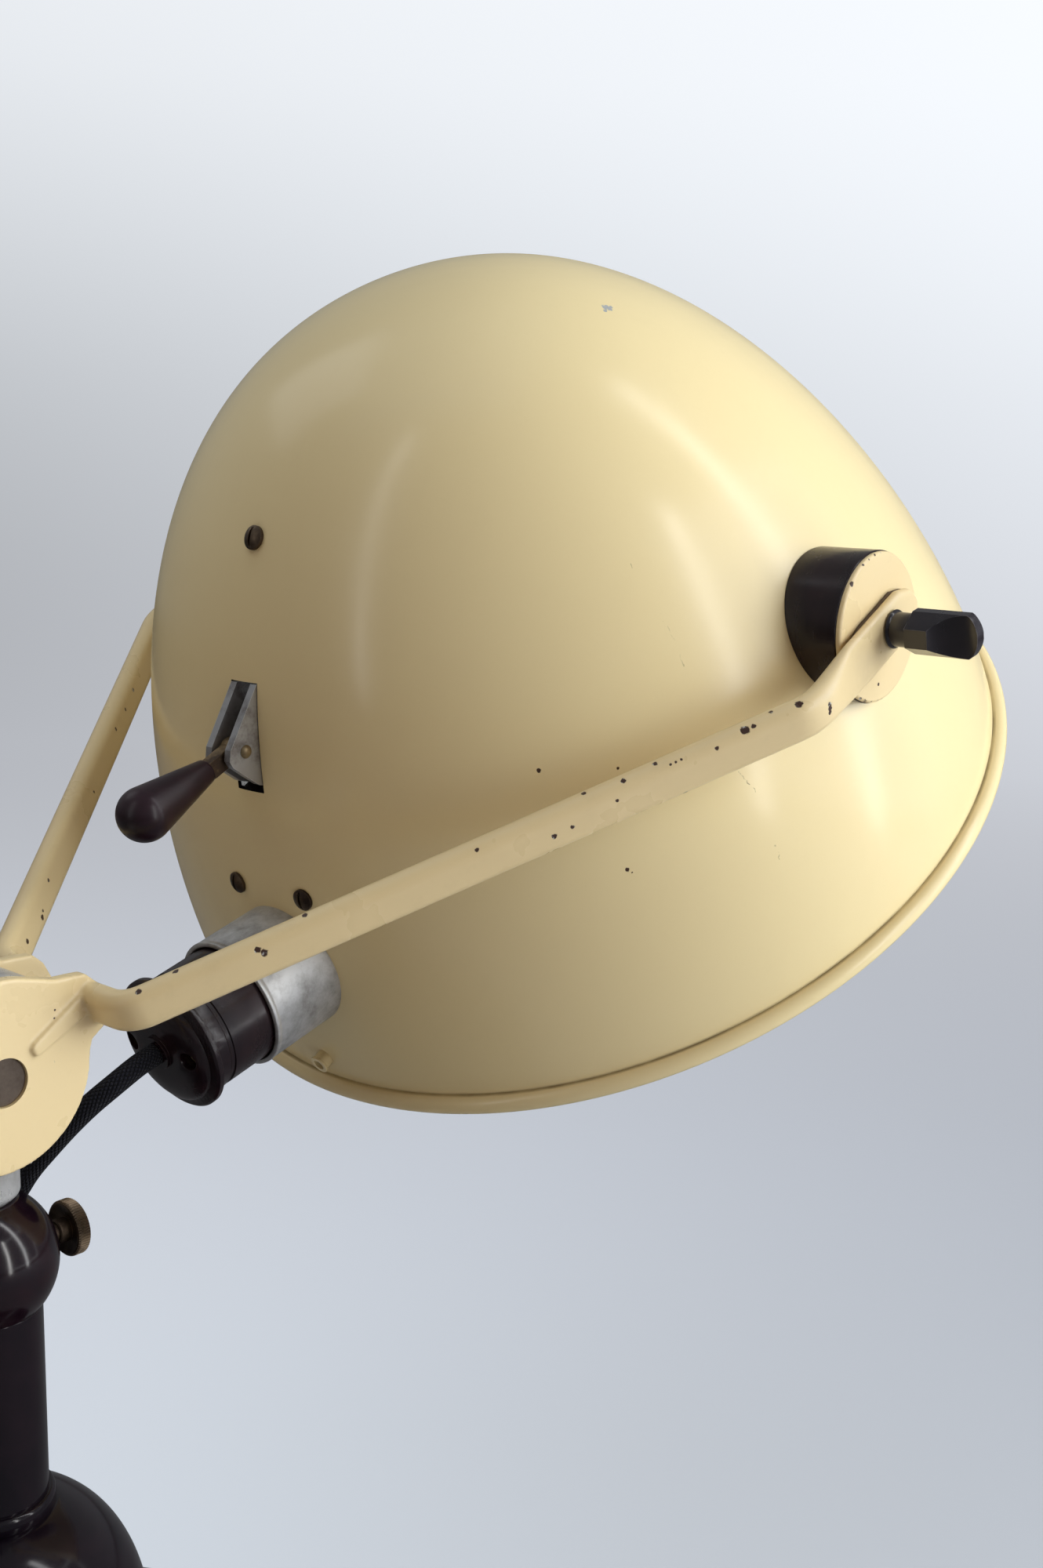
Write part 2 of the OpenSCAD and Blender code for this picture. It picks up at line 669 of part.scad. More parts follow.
// Two cheeks that come out through the slot, joined by a web below the bar
module lever_bracket() {
    wall = 2.4;
    web_z = 14.2;
    color("#9a9a96") at_head() difference() {
        union() {
            for (y = [-4, 4]) upright(y, wall) polygon([[-98, 42], [-103.2, 43.9],
                [-120.2, 34.4], [-122.1, 32], [-122.1, 29.9], [-117.6, 20], [-113.5, 16],
                [-98, 14]]);
            translate([-113, -4, web_z]) cube([15, 8, wall]);
            translate([-99.4, -12, 14]) cube([1.4, 24, 28]);
        }
        translate([rivet[0], 20, rivet[1]]) rotate([90, 0, 0]) cylinder(d = rivet_d, h = 40);
        translate([-103, -3, 16.8]) cube([9, 6, 24.4]);
    }
}
module lever_rivet() {
    color("#b08d4a") at_head() translate([rivet[0], 0, rivet[1]]) rotate([90, 0, 0]) {
        cylinder(d = rivet_d, h = 11, center = true);
        for (side = [-1, 1]) rotate([side > 0 ? 0 : 180, 0, 0]) intersection() {
            translate([0, 0, 5.2]) cylinder(d = 3.8, h = 1.1);
            translate([0, 0, 4.1]) sphere(r = 2.3, $fn = 36);
        }
    }
}
// Outer end of the bar, widened by slack for its socket in the handle
module lever_tang(slack) {
    strap(rivet, [-126, rivet_up + 0.8], 5 + slack);
    strap(rivet, [-128.5, rivet_up + 1.3], tang_w + slack);
}
module lever_bar() {
    reach = unit([drive_x, drive_z] - rivet);
    slot_from = rivet + 42.5 * reach;
    slot_to = rivet + 50.5 * reach;
    color("#7b6240") at_head() upright(0, bar_t) difference() {
        union() {
            lever_tang(0);
            strap(rivet, rivet + 40 * reach, 6.6);
            strap(slot_from, slot_to, 10.4);
        }
        strap(slot_from, slot_to, drive_d + 1.6);
        translate(rivet) circle(d = rivet_d + 2 * fit);
    }
}
module lever_handle() {
    bulb_r = handle_d / 2;
    mouth = [[0, -0.6], [2.9, -0.6], [3.4, -0.1], [3.6, 0.8]];
    color("#2b1a22") at_head() difference() {
        translate([-127, 0, rivet_up + 1.2]) rotate([0, -80.5, 0])
            rotate_extrude($fn = 48) polygon(concat(mouth,
                arc([0, handle_l - bulb_r], [bulb_r, bulb_r], -10, 90, 11)));
        upright(0, bar_t) lever_tang(0.2);
    }
}

module burner_bracket() {
    pivot_at = [cradle_x, cradle_z];
    color("#9a9a96") at_head() difference() {
        union() {
            for (y = [-side_plate_y, side_plate_y]) upright(y, 2) {
                strap([-71.5, 65.5], pivot_at, 8);
                strap(pivot_at, [-112, -11], 8);
            }
            translate([-72.3, 0, 68.8]) rotate([0, top_screw_at[3] - 90, 0])
                translate([-13, -24, -1]) cube([20, 48, 2]);
            translate([-117, -24, -17]) cube([2, 48, 12]);
            for (y = [-side_plate_y, side_plate_y]) upright(y, 2) {
                translate([-117, -15]) square([8, 8]);
            }
        }
        at_screw(top_screw_at, 1) disc(shank_d + 0.4, -20, 0);
        for (y = [-side_plate_y, side_plate_y]) translate([cradle_x, y + 5, cradle_z])
            rotate([90, 0, 0]) cylinder(d = 6 + 2 * fit, h = 10);
    }
}
module terminal_block() {
    color("#e8e4d8") at_head() difference() {
        translate([-115, -15, -17]) cube([12, 30, 11]);
        for (y = [-9, 9]) translate([-109, y, -12]) disc(5, 0, 10);
    }
}
module burner_cradle() {
    drive_y = 4;
    color("#8e8f8c") at_head() {
        translate([-38, -16, -1]) cube([70, 32, 2]);
        for (side = [-1, 1]) {
            upright(side * 14.8, 2) strap([cradle_x, 2], [cradle_x, cradle_z], 12);
            translate([cradle_x, 0, cradle_z]) at_side(side) disc(6, 14.5, side_plate_y + 1.8);
        }
        upright(drive_y, 2) {
            strap([-34, 2.2], [drive_x, drive_z], 6.4);
        }
    }
}
module cradle_pin() {
    color("#b08d4a") at_head() translate([drive_x, 3, drive_z]) rotate([90, 0, 0])
        cylinder(d = drive_d, h = 6.6);
}
module burner_tube() {
    color("#cfd8dc") at_head() translate([cradle_x, 0, tube_z]) rotate([0, 90, 0]) difference() {
        disc(2 * tube_r, -tube_half, tube_half);
        disc(2 * tube_r - 2.6, -tube_half + 3, tube_half - 3);
    }
}
module burner_poles() {
    color("#b9b9b5") at_head() translate([cradle_x, 0, tube_z]) for (side = [0, 180])
        rotate([0, 90 + side, 0]) rotate_extrude() polygon(concat(
            [[0, tube_half], [10.5, tube_half]],
            [for (i = [0:2]) each [[10.5, tube_half + 1.4 + 3.4 * i], [7.5, tube_half + 1.4 + 3.4 * i],
                [7.5, tube_half + 3.4 + 3.4 * i], [10.5, tube_half + 3.4 + 3.4 * i]]],
            [[10.5, tube_half + 11.6], [4, tube_half + 14], [0, tube_half + 14]]));
}
module burner_clips() {
    color("#9a9a96") at_head() for (x = [-31, 25]) {
        translate([x, 0, tube_z]) rotate([0, 90, 0]) difference() {
            cylinder(r = tube_r + 1.8, h = 6);
            translate([0, 0, -1]) cylinder(r = tube_r, h = 8);
        }
        translate([x, -3, tube_z + tube_r + 1]) cube([6, 6, -1 - tube_z - tube_r - 1]);
    }
}

module cord_head() {
    color("#1b1a1c") tube(set_back(curve(HEAD_ROUTE, rings_per_span), false, true),
        lead_r, lead_sides);
}
module cord_neck() {
    color("#1b1a1c") tube(set_back(curve(NECK_ROUTE, rings_per_span), true, true),
        lead_r, lead_sides);
}
module cord_drop() {
    color("#1b1a1c") tube(set_back(curve(DROP_ROUTE, rings_per_span), true, false),
        lead_r, lead_sides);
}
module cord_coil() {
    color("#1b1a1c") tube(COIL, lead_r, coil_sides);
}
module cord_tail() {
    color("#1b1a1c") tube(curve(TAIL_ROUTE, rings_per_span), lead_r, lead_sides);
}
// Flat band round all the turns, on the far side of the coil
module cord_tie() {
    gap = 0.4;
    turns_w = coil_pitch * coil_turns + lead_d + 2 * gap + 2.4;
    turns_h = coil_layer + lead_d + 2 * gap;
    color("#8c7a55") translate([coil_center[0], coil_center[1], 0]) rotate(200)
        translate([coil_inner_r - lead_r - gap - 1.2, -4, 0]) difference() {
            cube([turns_w + 1.2, 8, turns_h + 1.2]);
            translate([0.6, -1, 0.6]) cube([turns_w, 10, turns_h]);
        }
}
module at_mains() {
    translate(mains_rear) rotate([0, 0, mains_turn]) rotate([0, 90, 0]) children();
}
// Moulded two-pin plug lying flat on the table
module mains_plug() {
    color("#1f151c") translate([mains_rear[0], mains_rear[1], 0]) rotate(mains_turn)
        intersection() {
            linear_extrude(19) polygon(concat([[0, -5.5], [0, 5.5]],
                arc([0, 15.5], [16, 10], 280, 350, 6), arc([34, 13], [5, 5], 90, 0, 5),
                arc([34, -13], [5, 5], 0, -90, 5), arc([0, -15.5], [16, 10], 10, 80, 6)));
            translate([0, 0, 9.5]) rotate([0, 90, 0]) rotate_extrude() polygon([[0, 0], [9, 0],
                [14, 4], [19.5, 16], [20.5, 30], [20.5, 39], [0, 39]]);
        }
}
module mains_pins() {
    color("#b9b9b5") at_mains() for (y = [-9.5, 9.5]) translate([0, y, 0]) {
        disc(4.8, 39, 57);
        translate([0, 0, 57]) sphere(d = 4.8, $fn = 24);
    }
}

base_felt();
base_plate();
base_screws();
base_weight();
base_cover();
tie_rod();
column();
column_ring();
ball_head();
ball_bush();
swivel_washer();
clamp_screw();
swivel_neck();
hinge_pin();
hinge_washers();
right_arm();
left_arm();
shade();
rim_ring();
right_boss();
left_boss();
right_cover();
left_cover();
right_stud();
left_stud();
boss_washers();
right_knob();
left_knob();
collar();
inlet_insulator();
inlet_pins();
collar_screws();
top_screw();
vent_eyelet();
plug_front();
plug_back();
plug_screws();
lever_bracket();
lever_rivet();
lever_bar();
lever_handle();
burner_bracket();
terminal_block();
burner_cradle();
cradle_pin();
burner_tube();
burner_poles();
burner_clips();
cord_head();
cord_neck();
cord_drop();
cord_coil();
cord_tail();
cord_tie();
mains_plug();
mains_pins();
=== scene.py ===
# Medical sun lamp: fine shapes, finishes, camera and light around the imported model
import math
import bmesh
import bpy
from mathutils import Matrix, Vector


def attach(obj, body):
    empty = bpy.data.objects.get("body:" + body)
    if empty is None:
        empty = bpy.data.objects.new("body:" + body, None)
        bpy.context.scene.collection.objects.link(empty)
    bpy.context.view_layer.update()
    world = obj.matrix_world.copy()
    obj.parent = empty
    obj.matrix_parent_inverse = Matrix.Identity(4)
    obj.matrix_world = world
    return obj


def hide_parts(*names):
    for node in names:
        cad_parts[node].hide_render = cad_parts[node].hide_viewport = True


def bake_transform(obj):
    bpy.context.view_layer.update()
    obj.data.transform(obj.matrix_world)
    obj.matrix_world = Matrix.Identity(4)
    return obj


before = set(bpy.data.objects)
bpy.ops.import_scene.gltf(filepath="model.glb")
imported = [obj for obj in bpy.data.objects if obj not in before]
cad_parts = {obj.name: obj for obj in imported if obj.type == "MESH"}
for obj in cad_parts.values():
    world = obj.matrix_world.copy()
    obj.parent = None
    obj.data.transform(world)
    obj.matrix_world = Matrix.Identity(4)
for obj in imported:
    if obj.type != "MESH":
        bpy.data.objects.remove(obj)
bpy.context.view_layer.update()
scene = bpy.context.scene
print("frame loaded")

mm = 0.001


def shifted(x, y, z):  # millimetres
    return Matrix.Translation((x * mm, y * mm, z * mm))


def turned(degrees, axis):
    return Matrix.Rotation(math.radians(degrees), 4, axis)


yokeFrame = shifted(0, 0, 225) @ turned(-28.7, "Y")
pivotPoint = yokeFrame @ Vector((0.225, 0, 0))
headFrame = Matrix.Translation(pivotPoint) @ turned(-33, "Y")
rimFrame = headFrame @ shifted(-3, 0, -80.5)
inletFrame = headFrame @ shifted(-157.8, 0, -28.8) @ turned(-74.1, "Y")


def sideFrame(side):  # 1 is the left side, -1 the right, with +Z outward
    return headFrame @ turned(-90 * side, "X")


def newObject(name, data):
    thing = bpy.data.objects.new(name, data)
    scene.collection.objects.link(thing)
    return thing


# camera, at the photograph's place
cameraView = {"place": (-0.2233, -0.3684, 0.3799), "heading": 40.72, "down": 11.038,
              "roll": 1.261, "lens": 40.09}


def makeCamera(view):
    data = bpy.data.cameras.new("camera")
    data.sensor_width = 36
    data.lens = view["lens"]
    data.clip_start = 0.02
    camera = newObject("camera", data)
    camera.matrix_world = (Matrix.Translation(view["place"]) @ turned(view["heading"] - 90, "Z")
                           @ turned(90 - view["down"], "X") @ turned(view["roll"], "Z"))
    scene.camera = camera


makeCamera(cameraView)
print("camera placed")


# finishes: small helpers for node trees
def startFinish(name, values=None):
    material = bpy.data.materials.new(name)
    material.use_nodes = True
    tree = material.node_tree
    shader = tree.nodes["Principled BSDF"]
    for key, value in (values or {}).items():
        shader.inputs[key].default_value = value
    return material, tree, shader


def add(tree, kind, inputs=None, **settings):
    node = tree.nodes.new("ShaderNode" + kind)
    for key, value in settings.items():
        setattr(node, key, value)
    for key, value in (inputs or {}).items():
        if isinstance(value, bpy.types.NodeSocket):
            tree.links.new(value, node.inputs[key])
        else:
            node.inputs[key].default_value = value
    return node


def place(tree, scale=(1, 1, 1), turn=(0, 0, 0), shift=(0, 0, 0)):
    coords = add(tree, "TexCoord").outputs["Object"]
    mapping = add(tree, "Mapping", {0: coords, 1: shift, 2: turn, 3: scale})
    return mapping.outputs[0]


def noise(tree, scale, detail=3.0, rough=0.55, vector=None, distortion=0.0):
    vector = vector or place(tree)
    node = add(tree, "TexNoise", {"Vector": vector, "Scale": scale, "Detail": detail,
                                  "Roughness": rough, "Distortion": distortion})
    return node.outputs[0]


def fit(tree, value, low, high, toLow=0.0, toHigh=1.0):
    ends = {0: value, 1: low, 2: high, 3: toLow, 4: toHigh}
    return add(tree, "MapRange", ends, clamp=True).outputs[0]


def calc(tree, operation, a, b=0.0):
    return add(tree, "Math", {0: a, 1: b}, operation=operation).outputs[0]


def times(tree, a, b):
    return calc(tree, "MULTIPLY", a, b)


def plus(tree, a, b):
    return calc(tree, "ADD", a, b)


def less(tree, a, b):
    return calc(tree, "SUBTRACT", a, b)


def most(tree, a, b):
    return calc(tree, "MAXIMUM", a, b)


def vectorMath(tree, operation, a, b=(0, 0, 0), scale=1.0):
    node = add(tree, "VectorMath", {0: a, 1: b, 3: scale}, operation=operation)
    return node.outputs["Value" if operation in ("DOT_PRODUCT", "DISTANCE", "LENGTH") else 0]


def drive(shader, key, value):
    shader.id_data.links.new(value, shader.inputs[key])


def mixColor(tree, share, a, b):
    a = (*a, 1) if isinstance(a, tuple) else a
    b = (*b, 1) if isinstance(b, tuple) else b
    return add(tree, "Mix", {0: share, 6: a, 7: b}, data_type="RGBA").outputs[2]


def addBump(tree, shader, height, strength, distance):
    node = add(tree, "Bump", {"Strength": strength, "Distance": distance, "Height": height})
    drive(shader, "Normal", node.outputs[0])


def edgeWear(tree, radius, low=0.02, high=0.25):
    # 0 on open faces and 1 on edges, from the rounded normal
    rounded = add(tree, "Bevel", {"Radius": radius}, samples=6).outputs[0]
    flat = add(tree, "NewGeometry").outputs["Normal"]
    same = vectorMath(tree, "DOT_PRODUCT", rounded, flat)
    return fit(tree, less(tree, 1.0, same), low, high)


def stirring(tree, vector, scale, detail):
    # coloured noise round zero, which pushes places about for uneven outlines
    push = add(tree, "TexNoise", {"Vector": vector, "Scale": scale, "Detail": detail}).outputs[1]
    return vectorMath(tree, "SUBTRACT", push, (0.5, 0.5, 0.5))


def pushed(tree, vector, push, amount):
    return vectorMath(tree, "ADD", vector, vectorMath(tree, "MULTIPLY", push, (amount,) * 3))


def spotMask(tree, spots, ragged=0.5):
    # union of small ragged spots: each is (x, y, z, radius) in millimetres
    vector = place(tree)
    push = stirring(tree, vector, 900.0, 2.0)
    total = None
    for x, y, z, radius in spots:
        size = radius * mm
        moved = pushed(tree, vector, push, 2.4 * size * ragged)
        away = vectorMath(tree, "DISTANCE", moved, (x * mm, y * mm, z * mm))
        spot = fit(tree, away, size * 1.1, size * 0.85)
        total = spot if total is None else most(tree, total, spot)
    return total


def lineMask(tree, points, width, jitter):
    # thin line through points in millimetres
    vector = place(tree)
    vector = pushed(tree, vector, stirring(tree, vector, 160.0, 4.0), jitter)
    total = None
    for first, last in zip(points, points[1:]):
        a = Vector(first) * mm
        along = Vector(last) * mm - a
        offset = vectorMath(tree, "SUBTRACT", vector, a)
        share = vectorMath(tree, "DOT_PRODUCT", offset, along / along.length_squared)
        share = fit(tree, share, 0.0, 1.0)
        foot = vectorMath(tree, "SCALE", along, scale=share)
        away = vectorMath(tree, "DISTANCE", offset, foot)
        line = fit(tree, away, width * 1.3, width * 0.6)
        total = line if total is None else most(tree, total, line)
    return total


# cream enamel of the shade, with its crack, specks and a dark line above the bead that is part dirt,
# part painted crease shade
shadeLook = {
    "cream": (0.785, 0.645, 0.35), "warm": (0.775, 0.632, 0.34), "dirt": (0.12, 0.085, 0.04),
    "primer": (0.055, 0.026, 0.016), "bare": (0.36, 0.37, 0.36),
    "roughness": 0.2, "line": (0.0024, 0.0037, 0.1393),
    "crack": [(138.8, -90.1, 352.0), (143.4, -97.2, 338.5), (148.3, -105.4, 321.7),
              (160.2, -115.8, 295.1), (171.6, -121.9, 270.3)],
    "specks": [(116.8, -62.8, 364.3, 0.45), (117.4, -81.0, 296.6, 0.6), (135.2, -97.3, 270.0, 0.6),
               (136.4, -98.0, 269.2, 0.35), (134.1, -96.7, 268.6, 0.3), (131.6, -95.9, 297.5, 0.4),
               (108.0, -20.0, 355.0, 0.4), (150.0, 70.0, 372.0, 0.6), (210.0, 96.0, 392.0, 0.7),
               (190.0, -112.0, 332.0, 0.35), (104.0, -62.0, 262.0, 0.5), (240.0, 40.0, 404.0, 0.5)],
    "chips": [(171.8, -56.1, 417.4, 1.5), (169.9, -57.0, 417.0, 0.9), (262.0, -134.5, 262.0, 0.9)],
}


def seamDirtAndShade(tree, low, high, radius):
    # dirt and painted crease shade packed above the bead, uneven round the rim
    base, axis = rimFrame.translation, rimFrame.to_3x3() @ Vector((0, 0, 1))
    offset = vectorMath(tree, "SUBTRACT", place(tree), base)
    rise = vectorMath(tree, "DOT_PRODUCT", offset, axis)
    shift = vectorMath(tree, "SCALE", tuple(axis), scale=rise)
    away = vectorMath(tree, "DISTANCE", offset, shift)
    amount = fit(tree, noise(tree, 26.0, 4.0, 0.7), 0.4, 0.62, 0.25, 0.95)
    band = times(tree, fit(tree, rise, high, low), fit(tree, away, radius, radius - 0.0006))
    return times(tree, times(tree, band, fit(tree, rise, 0.0, 0.001)), amount)


def shadeEnamel(look):
    material, tree, shader = startFinish("shadeEnamel", {"Roughness": look["roughness"]})
    cloud = fit(tree, noise(tree, 7.0, 2.0), 0.3, 0.75)
    color = mixColor(tree, cloud, look["cream"], look["warm"])
    smear = fit(tree, noise(tree, 60.0, 5.0, 0.7, place(tree, (1, 1, 0.35))), 0.55, 0.95, 0.0, 0.03)
    color = mixColor(tree, smear, color, look["dirt"])
    crack = times(tree, lineMask(tree, look["crack"], 0.00016, 0.006),
                 fit(tree, noise(tree, 110.0, 3.0), 0.38, 0.6, 0.12, 0.75))
    color = mixColor(tree, crack, color, look["dirt"])
    # dark line above the bead: part dirt, part painted shade in the crease
    color = mixColor(tree, seamDirtAndShade(tree, *look["line"]), color, look["dirt"])
    specks = spotMask(tree, look["specks"])
    color = mixColor(tree, specks, color, look["primer"])
    chips = spotMask(tree, look["chips"], 0.9)
    color = mixColor(tree, chips, color, look["bare"])
    drive(shader, "Base Color", color)
    haze = fit(tree, noise(tree, 30.0, 4.0), 0.3, 0.7, look["roughness"] - 0.03,
               look["roughness"] + 0.04)
    drive(shader, "Roughness", plus(tree, haze, smear))
    ripple = plus(tree, times(tree, noise(tree, 55.0, 2.0), 0.8),
                  times(tree, noise(tree, 520.0, 2.0), 0.06))
    dents = plus(tree, times(tree, crack, 0.3), times(tree, most(tree, specks, chips), 0.5))
    addBump(tree, shader, less(tree, ripple, dents), 0.12, 0.0006)
    return material


# cream enamel of the yoke and covers, chipped through to dark primer
yokeLook = {
    "cream": (0.70, 0.55, 0.30), "warm": (0.685, 0.533, 0.285), "primer": (0.045, 0.02, 0.014),
    "bare": (0.40, 0.40, 0.38), "dirt": (0.15, 0.10, 0.05), "roughness": 0.3,
    "roughRange": (0.24, 0.38),
    "chips": [(144.4, -126.1, 309.9, 1.25), (146.2, -127.5, 310.9, 0.7), (127.4, -110.8, 301.3, 0.75),
              (155.6, -134.5, 316.4, 1.15), (163.8, -138.8, 315.9, 0.75), (164.0, -138.8, 314.9, 0.8),
              (164.2, -138.7, 313.9, 0.65), (113.6, -99.1, 293.8, 0.7), (120.4, -106.3, 297.1, 0.7),
              (118.7, -105.9, 292.2, 0.5), (138.4, -121.9, 305.4, 0.6), (106.9, -95.5, 283.1, 0.75),
              (110.4, -98.4, 285.5, 0.55), (91.1, -83.6, 280.2, 0.55), (129.3, -114.3, 301.3, 0.35),
              (130.4, -115.1, 301.9, 0.35), (131.5, -116.0, 302.5, 0.35), (151.0, -129.3, 314.2, 0.6),
              (135.4, -114.9, 293.3, 0.8), (49.9, -50.8, 255.3, 1.0), (48.6, -49.9, 256.1, 0.8),
              (34.6, -35.5, 250.5, 0.8), (26.8, -30.7, 246.0, 0.8), (59.2, -55.2, 264.0, 0.85),
              (14.5, -13.5, 240.2, 0.3), (14.2, -13.5, 238.1, 0.3), (45.3, 37.1, 247.9, 0.8),
              (46.4, 38.2, 249.4, 0.5), (52.4, 44.3, 255.9, 0.6), (35.6, 29.9, 244.4, 0.8),
              (127.7, 104.7, 296.7, 0.7), (119.4, 97.8, 291.8, 0.6), (88.0, 71.8, 272.5, 0.5),
              (110.2, 90.5, 287.2, 0.7), (72.0, 60.5, 263.0, 0.45), (181.4, -133.0, 345.6, 0.8),
              (198.5, -133.0, 317.5, 0.5), (131.3, 109.3, 303.8, 0.9)],
    "rims": [(184.5, -133.2, 349.1, 0.5), (186.6, -133.2, 350.6, 0.6), (189.4, -133.2, 351.9, 0.5),
             (192.6, -133.2, 352.9, 0.6), (195.8, -133.2, 353.4, 0.5), (189.4, -133.0, 313.8, 0.9),
             (192.2, -133.2, 313.0, 0.9), (195.2, -133.2, 312.4, 0.9), (198.6, -133.2, 312.3, 0.9),
             (201.4, -133.0, 312.7, 0.7)],
}


def yokeEnamel(look):
    material, tree, shader = startFinish("yokeEnamel", {"Roughness": look["roughness"]})
    cloud = fit(tree, noise(tree, 12.0, 2.0), 0.3, 0.75)
    color = mixColor(tree, cloud, look["cream"], look["warm"])
    smear = fit(tree, noise(tree, 90.0, 5.0, 0.7), 0.55, 0.95, 0.0, 0.14)
    color = mixColor(tree, smear, color, look["dirt"])
    chips = most(tree, spotMask(tree, look["chips"]), spotMask(tree, look["rims"], 0.9))
    small = fit(tree, noise(tree, 240.0, 3.0, 0.6), 0.765, 0.785)
    edges = times(tree, edgeWear(tree, 0.0006, 0.01, 0.12),
                 fit(tree, noise(tree, 170.0, 4.0, 0.7), 0.62, 0.66))
    worn = most(tree, chips, most(tree, edges, times(tree, small, 0.9)))
    metal = fit(tree, noise(tree, 700.0, 2.0), 0.6, 0.66)
    color = mixColor(tree, worn, color, mixColor(tree, metal, look["primer"], look["bare"]))
    drive(shader, "Base Color", color)
    drive(shader, "Roughness", fit(tree, noise(tree, 40.0, 4.0), 0.3, 0.7, *look["roughRange"]))
    height = less(tree, times(tree, noise(tree, 120.0, 2.0), 0.35), times(tree, worn, 0.6))
    addBump(tree, shader, height, 0.35, 0.0005)
    return material


# dark glossy finishes: phenolic moulding and black enamel
darkLooks = {
    "bakelite": {"base": (0.008, 0.0038, 0.0055), "bright": (0.024, 0.010, 0.011), "roughness": 0.2,
                 "scuff": 0.35, "wear": (0.10, 0.07, 0.065)},
    "brownBakelite": {"base": (0.010, 0.0035, 0.0065), "bright": (0.026, 0.008, 0.013),
                      "roughness": 0.3, "scuff": 0.25, "wear": (0.12, 0.07, 0.08)},
    "knobBakelite": {"base": (0.009, 0.007, 0.010), "bright": (0.021, 0.017, 0.022),
                     "roughness": 0.2, "scuff": 0.3, "wear": (0.2, 0.19, 0.22), "gloss": 0.62},
    "ballEnamel": {"base": (0.004, 0.0018, 0.004), "bright": (0.014, 0.004, 0.006),
                   "roughness": 0.14, "scuff": 0.12, "wear": (0.05, 0.04, 0.045), "gloss": 0.6},
    "blackEnamel": {"base": (0.0035, 0.0022, 0.004), "bright": (0.009, 0.0045, 0.007),
                    "roughness": 0.13, "scuff": 0.2, "wear": (0.06, 0.055, 0.06)},
}


def darkGloss(name, look):
    material, tree, shader = startFinish(name, {"Roughness": look["roughness"],
                                                "Specular IOR Level": look.get("gloss", 0.42)})
    swirl = fit(tree, noise(tree, 35.0, 5.0, 0.65, None, 1.2), 0.4, 0.75)
    color = mixColor(tree, swirl, look["base"], look["bright"])
    edges = times(tree, edgeWear(tree, 0.0004), fit(tree, noise(tree, 220.0, 3.0), 0.4, 0.7))
    color = mixColor(tree, times(tree, edges, 0.6), color, look["wear"])
    drive(shader, "Base Color", color)
    scuffs = noise(tree, 140.0, 6.0, 0.75, place(tree, (1, 1, 0.25), (0.4, 0.9, 0.2)))
    rough = fit(tree, scuffs, 0.45, 0.75, look["roughness"], look["roughness"] + look["scuff"] * 0.4)
    drive(shader, "Roughness", plus(tree, rough, times(tree, edges, 0.15)))
    addBump(tree, shader, plus(tree, noise(tree, 70.0, 2.0), times(tree, scuffs, 0.12)), 0.1, 0.0004)
    return material


# metals
metalLooks = {
    "castAluminium": {"base": (0.60, 0.59, 0.57), "stain": (0.36, 0.345, 0.32), "roughness": 0.3,
                      "stained": (0.5, 0.75), "bright": (0.7, 0.7, 0.68), "grain": 0.05,
                      "metallic": 0.6, "scratch": 0.05},
    "scuffedAluminium": {"base": (0.54, 0.54, 0.535), "stain": (0.27, 0.26, 0.245), "roughness": 0.36,
                         "stained": (0.44, 0.68), "bright": (0.85, 0.85, 0.84), "grain": 0.4,
                         "metallic": 0.6},
    "spunAluminium": {"base": (0.72, 0.72, 0.70), "stain": (0.5, 0.49, 0.46), "roughness": 0.28,
                      "stained": (0.55, 0.8), "bright": (0.82, 0.82, 0.8), "grain": 0.25},
    "wornSteel": {"base": (0.42, 0.42, 0.42), "stain": (0.17, 0.15, 0.14), "roughness": 0.33,
                  "stained": (0.5, 0.68), "bright": (0.8, 0.8, 0.8), "grain": 0.35,
                  "metallic": 0.7},
    "castGrey": {"base": (0.16, 0.16, 0.165), "stain": (0.07, 0.06, 0.055), "roughness": 0.6,
                 "stained": (0.45, 0.7), "bright": (0.3, 0.3, 0.3), "grain": 0.8},
    "bronze": {"base": (0.27, 0.19, 0.10), "stain": (0.075, 0.05, 0.035), "roughness": 0.45,
               "stained": (0.42, 0.6), "bright": (0.55, 0.42, 0.25), "grain": 0.7},
    "pinBronze": {"base": (0.21, 0.165, 0.13), "stain": (0.10, 0.075, 0.06), "roughness": 0.38,
                  "stained": (0.45, 0.7), "bright": (0.45, 0.38, 0.3), "grain": 0.6},
    "agedBrass": {"base": (0.42, 0.33, 0.19), "stain": (0.16, 0.11, 0.06), "roughness": 0.36,
                  "stained": (0.45, 0.68), "bright": (0.72, 0.62, 0.42), "grain": 0.35},
    "brownedScrew": {"base": (0.13, 0.092, 0.06), "stain": (0.035, 0.022, 0.017), "roughness": 0.4,
                     "stained": (0.40, 0.6), "bright": (0.36, 0.28, 0.18), "grain": 0.5},
    "platedPin": {"base": (0.66, 0.62, 0.5), "stain": (0.4, 0.33, 0.22), "roughness": 0.25,
                  "stained": (0.55, 0.75), "bright": (0.85, 0.83, 0.75), "grain": 0.2},
}


